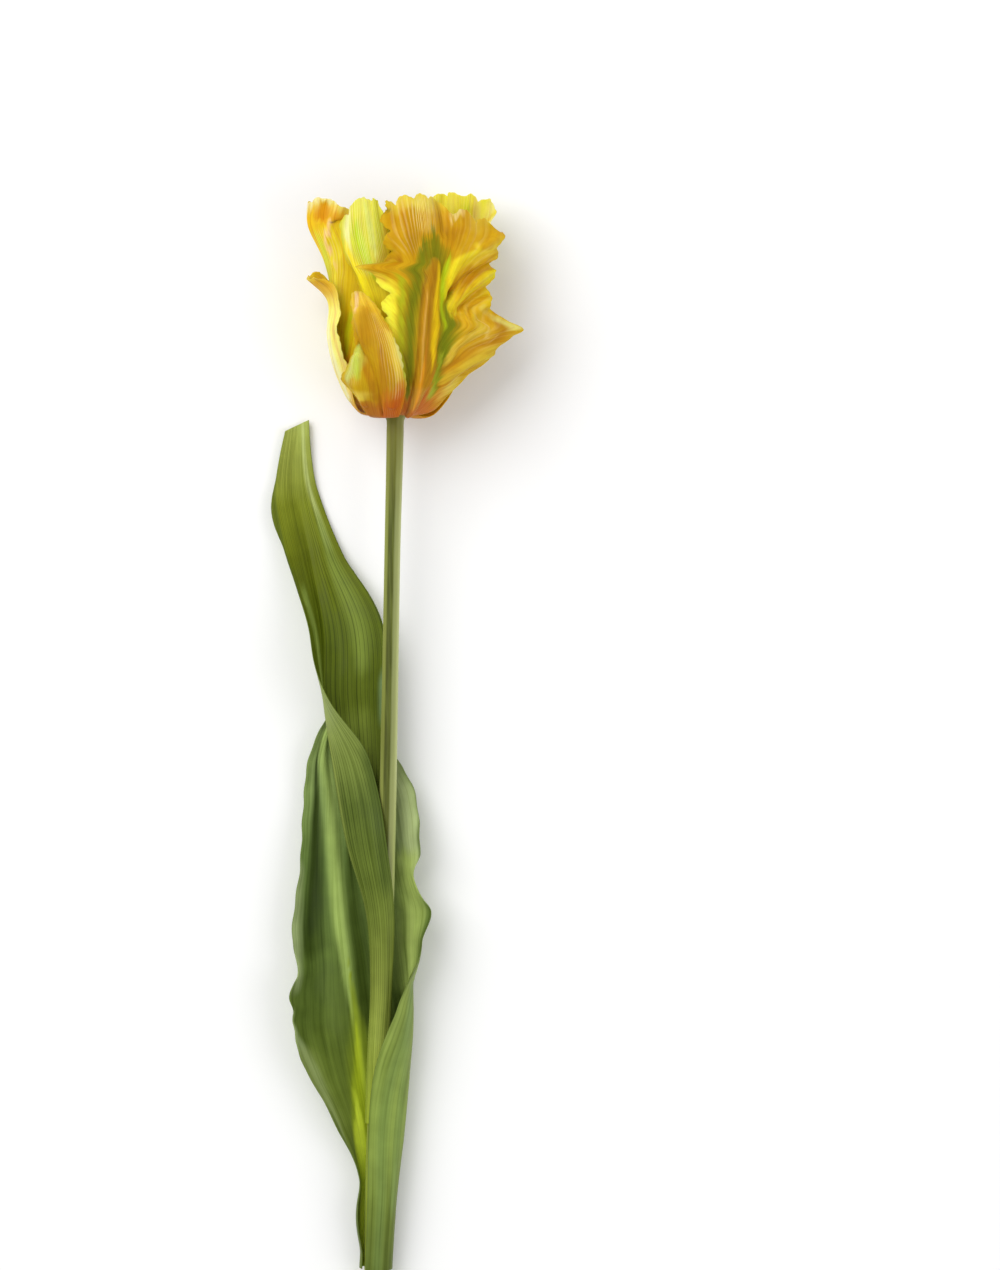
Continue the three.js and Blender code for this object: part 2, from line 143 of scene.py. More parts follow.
def surface(name, roughness, sheen=0.0, sheen_tint="FFFFFF", subsurface=0.0, specular=0.5, depth=0.001):
    """A new material, and its tree and shader."""
    material = bpy.data.materials.new(name)
    material.use_nodes = True
    tree = material.node_tree
    shader = tree.nodes["Principled BSDF"]
    finish = {
        "Roughness": roughness, "Specular IOR Level": specular,
        "Sheen Weight": sheen, "Sheen Roughness": 0.4, "Sheen Tint": colour(sheen_tint),
        "Subsurface Weight": subsurface, "Subsurface Radius": (1.0, 0.8, 0.15), "Subsurface Scale": depth,
    }
    for socket, value in finish.items():
        shader.inputs[socket].default_value = value
    return material, tree, shader


def skinned(tree, shader, skin, height, strength, distance):
    """A shader given its colour, and its fine relief from a height."""
    tree.links.new(skin, shader.inputs["Base Color"])
    bump = node(tree, "ShaderNodeBump", {"Height": height, "Strength": strength, "Distance": distance})
    tree.links.new(bump.outputs[0], shader.inputs["Normal"])


def new_tree(name, **sizes):
    """A geometry tree with named inputs for its sizes and its material, and its input node's outputs."""
    tree = bpy.data.node_groups.new(name, "GeometryNodeTree")
    sockets = tree.interface
    sockets.new_socket("Geometry", in_out="OUTPUT", socket_type="NodeSocketGeometry")
    sockets.new_socket("Geometry", in_out="INPUT", socket_type="NodeSocketGeometry")
    for label, size in sizes.items():
        kind = "NodeSocketInt" if isinstance(size, int) else "NodeSocketFloat"
        sockets.new_socket(label.replace("_", " "), in_out="INPUT", socket_type=kind).default_value = size
    sockets.new_socket("Material", in_out="INPUT", socket_type="NodeSocketMaterial")
    return tree, tree.nodes.new("NodeGroupInput").outputs


def pushed(tree, geometry, amount, chosen=True):
    """A surface moved out along its own directions by an amount, where it is chosen."""
    outwards = {0: node(tree, "GeometryNodeInputNormal"), "Scale": amount}
    push = node(tree, "ShaderNodeVectorMath", outwards, operation="SCALE")
    return node(tree, "GeometryNodeSetPosition", {"Geometry": geometry, "Selection": chosen, "Offset": push})


def close_tree(tree, geometry, given):
    """The end of a tree: a smooth plain mesh in its material."""
    smooth = node(tree, "GeometryNodeSetShadeSmooth", {"Geometry": geometry, "Shade Smooth": True})
    real = node(tree, "GeometryNodeRealizeInstances", {"Geometry": smooth})
    coated = node(tree, "GeometryNodeSetMaterial", {"Geometry": real, "Material": given["Material"]})
    node(tree, "NodeGroupOutput", {"Geometry": coated})


def grown(name, source, tree, **values):
    """A piece: the plain mesh that a node tree makes of a source, with the tree's named inputs set."""
    start = new_object("start", source)
    modifier = start.modifiers.new(tree.name, "NODES")
    modifier.node_group = tree
    sockets = {item.name: item.identifier for item in tree.interface.items_tree if item.item_type == "SOCKET"}
    for label, value in values.items():
        modifier[sockets[label]] = value
    shown = start.evaluated_get(bpy.context.evaluated_depsgraph_get())
    mesh = bpy.data.meshes.new_from_object(shown)
    mesh.name = name
    bpy.data.objects.remove(start)
    return new_object(name, mesh)


# The centre line: the cut end's firm edge, even steps up the stalk, then the receptacle's rounded shoulder.
stalk = [(share * STEM_RADIUS * STEM_RADII[0], above - STEM_LENGTH) for share, above in CUT_EDGE]
for u in np.linspace(0.004, 0.985, 150):
    stalk.append((STEM_RADIUS * through(STEM_RADII, u), (u - 1) * STEM_LENGTH))
stalk += SHOULDER
stem_line = bpy.data.curves.new("stalk", "CURVE")
stem_line.dimensions = "3D"
line = stem_line.splines.new("POLY")
line.points.add(len(stalk) - 1)
for point, (radius, y) in zip(line.points, stalk):
    height = BLOOM_REST + np.tan(np.radians(BLOOM_LIFT)) * y
    point.co = [*placed([through(STEM_BENDS, 1 + y / STEM_LENGTH), y, height]), 1]
    point.radius = radius / 1e3

stem_skin, tree, shader = surface("stem_skin", 0.4, sheen=0.06, sheen_tint="E4EAC0", specular=0.18)
spot = node(tree, "ShaderNodeTexCoord").outputs
fibres = noise(tree, spot["Object"], (900, 22, 900), 4)
green = mixed(tree, noise(tree, spot["Object"], (150, 9, 150), 3), colour("40460E"), colour("4C5218"))
green = mixed(tree, ranged(tree, fibres, 0.42, 0.7), green, colour("5E6626"))
facing_to = parts_of(tree, spot["Normal"])
up_stem = parts_of(tree, spot["Object"])["Y"]
neck = placed([0, 0, 0])[1]
for value, start, reach, amount, shade in (
    # painted highlights: a pale waxy green along its sides, stronger on its right, where side light falls
    (facing_to["X"], -0.4, -1, 0.5, colour("CCD474")),
    (facing_to["X"], 0.1, 1, 0.85, colour("C8D088")),
    # it is browner under the bloom, painted lighter there to lift the shade the bloom casts, paler where the
    # lower leaf wraps it, and pale wet pith at its cut end
    (up_stem, neck - 0.04, neck - 0.004, 0.75, colour("74722A")),
    (up_stem, neck - 0.27, neck - 0.3, 0.9, colour("96A63A")),
    (facing_to["Y"], -0.9, -0.98, 1, mixed(tree, fibres, colour("8E9E4A"), colour("DCE2B0"))),
):
    green = mixed(tree, ranged(tree, value, start, reach, 0, amount), green, shade)
skinned(tree, shader, green, fibres, 0.3, 0.0001)

tree, given = new_tree("sweep", Sides=48, Ribs=9, Rib_height=0.00005)
ring = node(tree, "GeometryNodeCurvePrimitiveCircle", {"Resolution": given["Sides"], "Radius": 1.0})
swept = node(tree, "GeometryNodeCurveToMesh", {
    "Curve": given["Geometry"], "Profile Curve": ring, "Scale": node(tree, "GeometryNodeInputRadius"),
    "Fill Caps": True,
})
turn = maths(tree, "MODULO", node(tree, "GeometryNodeInputIndex"), given["Sides"])
turn = maths(tree, "MULTIPLY", maths(tree, "DIVIDE", turn, given["Sides"]), given["Ribs"])
swell = maths(tree, "COSINE", maths(tree, "MULTIPLY", turn, 2 * np.pi))
close_tree(tree, pushed(tree, swept, maths(tree, "MULTIPLY", swell, given["Rib height"])), given)

stem = grown("scape", stem_line, tree, Material=stem_skin)
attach(stem, "root")
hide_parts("stem")

# ---------------------------------------------------------------- leaves
# Two broad leaves clasp the stem, one above the other. Each is a thin fleshy blade with parallel veins,
# keeled along its middle and waved at its margins, green and satiny inside and blue-green with wax outside.

LEAF_THICKNESS = 0.8
LEAF_GRID = 420, 80  # steps along a leaf and across it
FADE = 0.035  # how far a stroke reaches past its ends, as a share of the blade's length
VEINS_CLEAR = 0.0012  # metres above the surface, where the raised veins stop
# A blade is a rule: where it is at u along it, from root to tip, and at v across it, from margin to margin.


def bump_of(distance, span):
    """A rounded bump, 1 at its middle and 0 past its span."""
    return (1 - np.clip(np.abs(distance) / span, 0, 1) ** 2) ** 2


def rise(x, low, high):
    """0 below low, 1 above high, and smooth between."""
    t = np.clip((x - low) / (high - low), 0, 1)
    return t * t * (3 - 2 * t)


def unit(vectors):
    """The same directions, of length 1."""
    return vectors / np.linalg.norm(vectors, axis=-1, keepdims=True)


def stroke(up, v, knots, power=2.0):
    """A band along knots of (up, v, half width) in hundredths, 1 on its line. A low power gives it a flat top
    and firm edges."""
    ups, vs, widths = np.array(sorted(knots), float).T / 100
    steps = np.linspace(0, 1, 60)
    line_up, line_v, line_width = (through(values, steps) for values in (ups, vs, widths))
    width = np.maximum(np.interp(up, line_up, line_width), 1e-3)
    past = np.maximum(np.maximum(ups[0] - up, up - ups[-1]), 0) / FADE
    away = np.sqrt(((v - np.interp(up, line_up, line_v)) / width) ** 2 + past**2)
    return (1 - np.clip(away, 0, 1) ** 2) ** power


def layers(rows, up, v):
    """The sum of strokes of some size."""
    return sum((size * stroke(up, v, knots, *power) for size, knots, *power in rows), 0 * up)


def laid(tint, strokes, up, v):
    """Each stroke of colour laid over a tint in turn."""
    for code, strength, knots, *power in strokes:
        share = strength * stroke(up, v, knots, *power)[..., None]
        tint = tint * (1 - share) + np.array(colour(code)) * share
    return tint


def painted(ground, strokes, up, v):
    """Colours on a blade: a ground that changes from root to tip, in hundredths, then the strokes over it."""
    ups, codes = np.array([up for up, _ in ground]) / 100, [code for _, code in ground]
    shades = np.array([colour(code) for code in codes])
    return laid(np.stack([np.interp(up, ups, shades[:, i]) for i in range(4)], -1), strokes, up, v)


def wander(place, seed):
    """A smooth random swing, about -1 to 1, with one turn to each whole number."""
    table = np.random.default_rng(seed).uniform(-1, 1, 256)
    step = np.floor(place).astype(int)
    share = rise(place - step, 0, 1)
    return table[step % 256] * (1 - share) + table[(step + 1) % 256] * share


def of_half(blade, key, up, v):
    """A value of the half of the blade that v is on."""
    left, right = (through(blade[half].get(key, (0, 0)), up) for half in ("left", "right"))
    return np.where(v < 0, left, right)


def half_width(blade, up, v):
    """From the midrib to the margin, with the lobes that stand out of it."""
    left, right = (
        sum((size * bump_of(up - at, span) for at, span, size in blade[half].get("lobes", [])), 0 * up)
        for half in ("left", "right")
    )
    return of_half(blade, "width", up, v) + np.where(v < 0, left, right)


def blade_point(blade, up, v):
    """Where a blade is. Each side leaves the midrib at its fold and bends evenly by its turn, in degrees."""
    mid = blade["mid"](up)
    along = unit(blade["mid"](up + 0.01) - blade["mid"](up - 0.01))
    roll = np.radians(through(blade["roll"], up))
    face = unit(np.cross(np.stack([np.cos(roll), 0 * roll, np.sin(roll)], -1), along))
    across = np.cross(along, face)
    hand = np.where(v < 0, -1.0, 1.0)
    reach = half_width(blade, up, v) * np.abs(v)
    fold = np.radians(of_half(blade, "fold", up, v))
    turn = np.radians(of_half(blade, "turn", up, v)) * np.abs(v) + 1e-6
    sine, cosine = np.sin(fold + turn), np.cos(fold + turn)
    normal = face * cosine[..., None] - across * (hand * sine)[..., None]
    return (
        mid
        + across * (hand * reach * (sine - np.sin(fold)) / turn)[..., None]
        + face * (reach * (np.cos(fold) - cosine) / turn)[..., None]
        + normal * blade["wave"](up, v)[..., None]
    )


def facing(grid):
    """The directions that a grid of points faces."""
    return unit(np.cross(np.gradient(grid, axis=1), np.gradient(grid, axis=0)))


def blade_mesh(name, blade, rows, columns, thickness, settle):
    """A closed sheet over a blade, thin at its margins, pressed flat on the surface. Its vertices keep their
    colour, and where they are on the blade: across the veins, along them, and from margin to margin."""
    u, v = np.meshgrid(np.linspace(0, 1, rows + 1), np.linspace(-1, 1, columns + 1), indexing="ij")
    v = np.sign(v) * np.abs(v) ** 0.9  # closer together towards the margins
    up = u * blade["end"](v)
    # It thins to about a third at its margins and tip, and its teeth are cut in from the margins.
    inside = np.minimum(rise(1 - np.abs(v), -0.06, 0.3), rise(1 - u, -0.03, 0.12))
    half = 0.5 * thickness * (0.3 + 0.7 * inside)
    v = v * (1 - np.abs(v) ** 3 * blade["trim"](up, v) / half_width(blade, up, v))
    middle = settle(blade_point(blade, up, v))
    middle = middle + facing(middle) * layers(blade["folds"], up, v)[..., None]
    # Nothing goes under the surface that it lies on.
    middle[..., 2] = np.maximum(middle[..., 2], thickness / 2)
    normal = facing(middle)
    front = middle + normal * (half + layers(blade.get("keel", []), up, v))[..., None]
    points = np.stack([front, middle - normal * half[..., None]]).reshape(-1, 3)
    points[:, 2] = np.maximum(points[:, 2], 0)

    grid = np.arange(u.size).reshape(u.shape)
    faces = np.stack([grid[:-1, :-1], grid[:-1, 1:], grid[1:, 1:], grid[1:, :-1]], -1).reshape(-1, 4)
    rim = np.concatenate([grid[0, :-1], grid[:-1, -1], grid[-1, :0:-1], grid[:0:-1, 0]])
    after = np.roll(rim, -1)
    edge = np.stack([rim, rim + u.size, after + u.size, after], 1)
    mesh = bpy.data.meshes.new(name + "_sheet")
    faces = np.concatenate([faces, faces[:, ::-1] + u.size, edge])
    mesh.from_pydata(placed(points).tolist(), [], faces.tolist())
    mesh.update()

    lined = np.tile(blade["lined"](up, v).ravel(), 2)
    tint = np.stack([blade["paint"](up, v, is_front) for is_front in (True, False)])
    vein = np.tile(np.stack([blade["vein"](up, v), up, v], -1).reshape(-1, 3), (2, 1))
    for label, kind, key, values in (
        ("lined", "FLOAT", "value", lined), ("tint", "FLOAT_COLOR", "color", tint),
        ("vein", "FLOAT_VECTOR", "vector", vein),
    ):
        mesh.attributes.new(label, kind, "POINT").data.foreach_set(key, values.astype(np.float32).ravel())
    corners = np.empty(len(mesh.loops), np.int32)
    mesh.loops.foreach_get("vertex_index", corners)
    mesh.uv_layers.new(name="blade").data.foreach_set("uv", vein[corners, 2:0:-1].astype(np.float32).ravel())
    return mesh


# Veins are raised along a blade: fine ridges at even shares of its width, slightly uneven in height.
tree, given = new_tree("raised_veins", Veins=20.0, Height=0.00005, Seed=1.0)
on_blade = node(tree, "GeometryNodeInputNamedAttribute", {"Name": "vein"}, data_type="FLOAT_VECTOR")
on_blade = parts_of(tree, on_blade)
spot = node(tree, "ShaderNodeCombineXYZ", {
    "X": maths(tree, "MULTIPLY", on_blade["X"], given["Veins"]),
    "Y": maths(tree, "MULTIPLY", on_blade["Y"], 5.0),
    "Z": maths(tree, "MULTIPLY", on_blade["Z"], given["Seed"]),
})
uneven = node(tree, "ShaderNodeTexNoise", {"Vector": spot, "Scale": 1.0, "Detail": 2.0})
depth = maths(tree, "MULTIPLY", maths(tree, "SUBTRACT", uneven, 0.5), given["Height"])
depth = maths(tree, "MULTIPLY", depth, 4.0)
above = parts_of(tree, node(tree, "GeometryNodeInputPosition"))["Z"]
free = node(tree, "FunctionNodeCompare", {0: above, 1: VEINS_CLEAR}, operation="GREATER_THAN")
close_tree(tree, pushed(tree, given["Geometry"], depth, free), given)
raised_veins = tree


def blade_skin(name, roughness, subsurface, veins, streaky, dark, light, depth, lines, line, blend, thin):
    """A plant skin painted by the blade's tint, with broad and fine streaks along its veins, and with evenly
    spaced fine lines where the blade is lined."""
    material, tree, shader = surface(name, roughness, subsurface=subsurface, specular=0.07, depth=0.003)
    skin = node(tree, "ShaderNodeAttribute", attribute_name="tint").outputs["Color"]
    spot = node(tree, "ShaderNodeAttribute", attribute_name="vein").outputs["Vector"]
    for count, strength in ((veins, streaky), (veins * 3.1, 0.4)):
        streaks = noise(tree, spot, (count, 4, 4), 2)
        for reach, shade, way in ((0.28, dark, "MULTIPLY"), (0.72, light, "SCREEN")):
            share = ranged(tree, streaks, 0.5, reach, 0, strength)
            skin = mixed(tree, share, skin, mixed(tree, 1.0, skin, colour(shade), way))
    swing = maths(tree, "MULTIPLY", parts_of(tree, spot)["X"], lines * np.pi)
    swing = maths(tree, "COSINE", maths(tree, "ADD", swing, maths(tree, "MULTIPLY", streaks, 2.0)))
    fine = ranged(tree, maths(tree, "ABSOLUTE", swing), thin, 1)
    lined = node(tree, "ShaderNodeAttribute", attribute_name="lined").outputs["Fac"]
    share = maths(tree, "MULTIPLY", fine, lined)
    skin = mixed(tree, share, skin, mixed(tree, 1.0, skin, colour(line), blend))
    clouds = noise(tree, node(tree, "ShaderNodeTexCoord").outputs["Object"], (120, 120, 120), 4)
    cloudy = ranged(tree, clouds, 0.3, 0.7, 0.9, 1.06)
    grey = node(tree, "ShaderNodeCombineColor", {i: cloudy for i in range(3)})
    worn = ranged(tree, clouds, 0.3, 0.7, roughness - 0.07, roughness + 0.1)
    tree.links.new(worn.outputs[0], shader.inputs["Roughness"])
    skinned(tree, shader, mixed(tree, 1.0, skin, grey, "MULTIPLY"), streaks, 0.4, depth)
    return material


leaf_skin = blade_skin(
    "leaf_skin", roughness=0.42, subsurface=0.0, veins=9, streaky=0.45, dark="A3AC78", light="262C10",
    depth=0.00012, lines=15, line="3C4A1A", blend="MULTIPLY", thin=0.93,
)

# Each leaf: its midrib (spine), the turn of its face in degrees (roll), and its two halves with their widths,
# folds at the midrib, turns and lobes. A lobe is a place and span as shares of the length, and its reach.
# A ruffle is a wave's height, count and place, and a frill a fine wave's height and count. The tip is cut
# back to the left by a slant.
LOWER_LEAF = dict(
    spine=[
        [-8.4, -338, 1.1], [-7.6, -310, 2], [-5, -284, 1.4], [-4.5, -262, 0.3], [-5, -240, 0.3],
        [-8, -218, 0.6], [-12, -196, 1], [-15, -174, 1.6], [-17.5, -152, 2.4], [-19.5, -130, 3],
        [-19.7, -107, 4],
    ],
    roll=[0, 0],
    left=dict(
        width=[12.5, 11, 23, 35.7, 42, 37.6, 32.2, 26.9, 20.3, 16, 1.5],
        turn=[120, 105, 75, 60, 55, 50, 50, 45, 40, 40, 40],
        lobes=[(0.475, 0.035, 2.5), (0.53, 0.035, -1.6), (0.39, 0.06, -1.5), (0.2, 0.06, 1.5),
            (0.075, 0.05, 4.5)],
    ),
    right=dict(
        width=[24, 27.4, 31.4, 34.5, 33, 29, 33, 31, 27, 17, 1.5],
        turn=[215, 209, 227, 208, 165, 100, 75, 62, 45, 35, 35],
        lobes=[(0.64, 0.055, -6), (0.56, 0.05, 1.5), (0.5, 0.04, 3), (0.72, 0.05, 1.2)],
    ),
    ruffle=(1.5, 4.5, 0.1),
    slant=0,
    frill=(0.35, 23),
    lined=0.12,
    folds=[
        (0.9, [(95, -70, 10), (75, -42, 16), (58, -30, 14), (40, -23, 12), (28, -20, 8)]),
        (-0.7, [(80, -68, 14), (60, -72, 20), (40, -62, 20)]),
        (-0.5, [(60, -12, 10), (45, -12, 8)]),
        (0.6, [(80, 50, 12), (60, 50, 12), (50, 50, 10)]),
    ],
    inner=(
        [(0, "75863A"), (10, "8C9C4E"), (20, "748436"), (35, "64762C"), (50, "607432"), (70, "6C8442"),
            (90, "90A660"), (100, "A4B876")],
        [
            # painted shade: dark green down the hollow of the fold on its left half
            ("2A390C", 0.92, [(90, -78, 2), (83, -74, 10), (76, -71, 19), (66, -68, 22), (56, -72, 26)]),
            ("46581C", 0.5, [(56, -72, 26), (48, -80, 30), (40, -85, 20), (33, -95, 10)]),
            # painted shadow: dark green beside the midrib, where the upper leaf shades it
            ("3F5018", 0.85, [(70, -14, 10), (64, -14, 16), (55, -13, 18), (46, -16, 12), (40, -18, 4)]),
            # painted highlight: a pale stripe along the crest of the fold on its left half
            ("B0C86C", 0.78, [(93, -74, 16), (84, -48, 19), (75, -41, 19), (67, -37, 17), (58, -35, 13),
                (50, -33, 8), (42, -30, 2)], 1.8),
            # the channel low down: a paler lime base, painted brighter still towards the root to stand in for
            # light shining through the leaf into its shaded hollow
            ("8C9E2A", 1, [(50, -30, 1.2), (44, -28, 5), (38, -26, 12), (33, -27, 20), (27, -30, 24),
                (20, -36, 28), (12, -45, 40), (4, -50, 50)]),
            ("B4C628", 0.9, [(38, -27, 2), (31, -30, 8), (24, -38, 16), (17, -46, 28), (10, -52, 40),
                (4, -55, 50)], 1.5),
            ("E8FA4A", 1, [(25, -40, 2), (20, -46, 14), (15, -54, 30), (8, -60, 50), (3, -60, 50)], 1.2),
            # painted highlight: pale green along the curled left margin, where it catches the light
            ("A6B67E", 0.8, [(68, -100, 14), (60, -96, 16), (50, -100, 14)]),
            ("AEBE86", 0.6, [(42, -100, 4), (36, -93, 10), (30, -89, 14), (22, -95, 12), (16, -100, 4)]),
            ("9CB05C", 0.8, [(12, -100, 30), (5, -100, 30)]),
            ("8C9A55", 0.5, [(34, -95, 30), (22, -95, 30)]),
            # painted light: the steep right half, curled up and over, made paler to lift its own shade
            ("C2D094", 0.9, [(86, 80, 40), (76, 80, 40), (68, 80, 35)]),
            ("BCD072", 0.95, [(68, 70, 40), (56, 62, 42), (46, 50, 35)]),
            # painted shade: darker along the turned-under right margin
            ("5C7230", 0.6, [(63, 98, 10), (54, 97, 12), (49, 95, 12)]),
        ],
    ),
    outer=(
        [(0, "62712E"), (8, "6E7E34"), (20, "869A46"), (50, "8C9E4E"), (100, "8A9E58")],
        [
            ("93AC64", 0.5, [(50, 90, 8), (30, 62, 10), (10, 60, 10)]),
            ("6C8446", 0.5, [(45, 75, 12), (20, 80, 12), (2, 80, 12)]),
        ],
    ),
)
UPPER_LEAF = dict(
    spine=[
        [-12.1, -280, 9.6], [-11, -252, 11.2], [-9.9, -224, 12.8], [-11.7, -196, 13.5], [-19.6, -168, 12.9],
        [-24.6, -140, 13.5], [-28.6, -112, 13], [-29.2, -84, 9], [-34.3, -56, 3], [-39.6, -28, 0],
        [-39.3, 0, 1.2],
    ],
    roll=[-90, -90, -90, -85, -75, -60, -30, -8, 5, 10, 10],
    left=dict(
        width=[11.9, 11.6, 11.8, 14.4, 19, 17, 16, 12, 10.5, 9.5, 4.5],
        fold=[0, 0, 0, 15, 50, 75, 60, 45, 40, 30, 20],
        turn=[140, 140, 150, 110, 50, 40, 20, 10, 5, 5, 5],
        lobes=[(0.83, 0.12, 0.6), (0.868, 0.05, 2)],
    ),
    right=dict(
        width=[11.9, 11.6, 11.8, 12, 16.5, 22, 25.5, 24, 13, 8, 4.5],
        fold=[0, 0, 0, 25, 43, 50, 25, 8, 0, 0, 0],
        turn=[140, 140, 150, 85, 40, 10, 10, 5, 5, 5, 5],
    ),
    ruffle=(1, 4, 0.4),
    slant=0.012,
    frill=(0.15, 17),
    lined=0.5,
    folds=[
        (0.5, [(95, 45, 20), (85, 40, 20), (75, 20, 20)]),
        (-0.4, [(95, -10, 30), (80, -10, 30), (66, 20, 20)]),
    ],
    inner=(
        [(0, "7E8A3A"), (35, "606E24"), (55, "5E6C1A"), (70, "566410"), (80, "646E14"), (88, "7A8422"),
            (95, "9CA64A"), (100, "AAB65E")],
        [
            # painted highlight: a pale stripe on the right near the tip
            ("BAC67A", 0.85, [(99, 40, 24), (93, 55, 20), (87, 66, 18), (83, 66, 16)]),
            ("80923C", 0.7, [(84, 66, 26), (77, 60, 32), (70, 60, 30), (66, 60, 20)]),
            ("8EA24A", 0.85, [(74, -70, 24), (68, -50, 26), (62, -34, 24), (56, -24, 20)]),
            # painted highlight: a blue-green gleam at the right margin
            ("7E9C74", 0.8, [(62, 95, 14), (57, 95, 16)]),
            ("7C8C34", 0.7, [(56, 50, 50), (50, 60, 60), (44, 60, 60)]),
        ],
    ),
    outer=(
        [(0, "A8B83A"), (12, "9AA848"), (20, "7E8A3A"), (34, "64742C"), (45, "586828"), (58, "92A250"),
            (100, "9AAA5C")],
        [
            ("93A14F", 0.7, [(60, 0, 40), (50, 0, 16), (40, 0, 14), (30, -5, 10)]),
            ("4C5C24", 0.8, [(50, -95, 24), (42, -90, 24), (34, -85, 24)]),
        ],
    ),
)


def leaf_blade(leaf):
    """A leaf's rules, from its own values."""
    height, count, phase = leaf["ruffle"]
    frill, frills = leaf["frill"]

    def wave(u, v):
        swing = np.sin(2 * np.pi * (count * u + phase))
        fine = np.sin(2 * np.pi * (frills * u + 0.15 * np.sign(v) + 1.3 * np.sin(5 * u)))
        return height * rise(u, 0.2, 0.5) * v * v * swing + frill * rise(u, 0.3, 0.45) * v**6 * fine

    def vein(up, v):
        # The veins run past the waves of the margin.
        return v * half_width(leaf, up, v) / of_half(leaf, "width", up, v)

    def paint(up, v, is_front):
        # The front looks up out of the channel and is the leaf's inner side. The back has more wax on it.
        v = vein(up, v)
        place = 22 * v + 40
        up, v = up + 0.005 * wander(place, 1), v + 0.004 * wander(place, 2)
        tint = painted(*leaf["inner" if is_front else "outer"], up, v)
        edge = 0.5 * rise(np.abs(v), 0.97, 1)[..., None]
        return tint * (1 - edge) + np.array(colour("4E5E24")) * edge

    return dict(
        leaf, mid=lambda u: through(leaf["spine"], u), end=lambda v: 1 - leaf["slant"] * (1 - v), wave=wave,
        trim=lambda up, v: 0 * up, lined=lambda up, v: leaf["lined"] + 0 * up, vein=vein, paint=paint,
    )


for name, node_name, leaf, seed in (
    ("clasping_leaf", "lower_leaf", LOWER_LEAF, 3.0),
    ("stem_leaf", "upper_leaf", UPPER_LEAF, 7.0),
):
    sheet = blade_mesh(name, leaf_blade(leaf), *LEAF_GRID, LEAF_THICKNESS, lambda points: points)
    made = grown(name, sheet, raised_veins, Veins=20.0, Height=0.00005, Seed=seed, Material=leaf_skin)
    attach(made, "root")
    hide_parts(node_name)

# ---------------------------------------------------------------- petals
# Eight tepals in two whorls, broad and stiff with a narrow claw, grow from the receptacle. Their margins are
# cut into feathery teeth and waved, and raised ribs run slantwise from a thick midrib out to the teeth.
# They are silky yellow, flamed with orange and green, and burnt orange at the claw.

PETAL_THICKNESS = 0.7
PETAL_GRID = 190, 76  # steps along a tepal and across it
FLAMED_GRID = 240, 130  # closer on the flamed tepal, for its ribs
ROOT = RECEPTACLE_RADIUS + 0.3  # where the claws leave the receptacle
BLOOM_LEAN = -2.6  # degrees that the bloom leans to the right
CRIMPED = 0.84  # how far up a tepal its crimped tip starts

lift, lean = np.radians(BLOOM_LIFT), np.radians(BLOOM_LEAN)
LIFTED = np.array([[1, 0, 0], [0, np.cos(lift), -np.sin(lift)], [0, np.sin(lift), np.cos(lift)]])
LEANING = np.array([[np.cos(lean), -np.sin(lean), 0], [np.sin(lean), np.cos(lean), 0], [0, 0, 1]])


def in_bloom(points):
    """Points in the bloom's own frame, its axis along +Y, as they lie with the bloom."""
    return points @ (LIFTED @ LEANING).T + np.array([0, 0, BLOOM_REST])


def notch(place):
    """A row of sharp notches between rounded teeth, one to each whole number."""
    return 1 - np.abs(np.sin(np.pi * place))


def petal_blade(petal):
    """A tepal's rules, from its own values, in the bloom's own frame."""
    radii, heights = np.array(petal["profile"], float).T
    depth, count, phase = petal["teeth"]
    drop, tip_depth, tip_count, tip_phase = petal["tip"]
    height, waves, slant, shift = petal["ruffle"]

    def mid(u):
        angle, radius = np.radians(through(petal["azimuth"], u)), through(radii, u)
        return np.stack([radius * np.sin(angle), through(heights, u), radius * np.cos(angle)], -1)

    def trim(up, v):
        coarse = depth * notch(count * up + phase * np.where(v < 0, 0, 2))
        fine = 0.5 * notch(3.1 * count * up + phase + 0.3 * np.sign(v))
        left, right = (rise(up, *petal[half].get("toothed", (0.25, 0.5))) for half in ("left", "right"))
        return np.where(v < 0, left, right) * (coarse + fine)

    def end(v):
        shoulder = petal.get("shoulder", 0)
        shoulder = shoulder * rise(v, 0.05, 0.3) - min(shoulder, 0)
        fine = 0.2 * tip_depth * notch(3.4 * tip_count * v + 0.4)
        return 1 - drop * v * v - shoulder - tip_depth * notch(tip_count * v + tip_phase) - fine

    def wave(up, v):
        beat = waves * up - slant * np.abs(v) + shift
        broad = height * rise(up, 0.1, 0.6) * v * v * np.sin(2 * np.pi * beat)
        frill = 0.5 * rise(up, 0.3, 0.7) * v**4 * np.sin(2 * np.pi * (count * up + phase * (1 + np.sign(v))))
        crimp = 0.55 * rise(up, CRIMPED, 1) * np.sin(2 * np.pi * (2.3 * v + shift))
        return broad + frill + crimp

    def vein(up, v):
        # Veins leave the midrib at a slant and turn out to the margin, the more so in a feathered petal, and
        # run straight up near the tip.
        past = up - CRIMPED
        fan = 0.37 * np.arctan(3.5 * np.abs(v)) - up + 0.5 * (past + np.hypot(past, 0.04))
        return (1 - petal["feather"]) * np.abs(v) + petal["feather"] * 2.2 * fan

    def paint(up, v, is_front):
        # Strokes end in streaks along the veins, bands have clean edges, and the inside is more golden.
        place = 26 * vein(up, v) + 40 * (v > 0)
        streaked = up + 0.02 * wander(place, 1), v + 0.035 * wander(place, 2)
        tint = painted(petal["ground"], petal["strokes"], *streaked)
        tint = laid(tint, petal.get("bands", []), up, v)
        return tint if is_front else tint * 0.6 + 0.4 * np.array(colour("C8A812"))

    return dict(
        petal, roll=[-angle for angle in petal["azimuth"]], mid=mid, end=end, trim=trim, wave=wave, vein=vein,
        lined=lambda up, v: 0.85 * np.clip(layers(petal["lined"], up, v), 0, 1), paint=paint,
    )


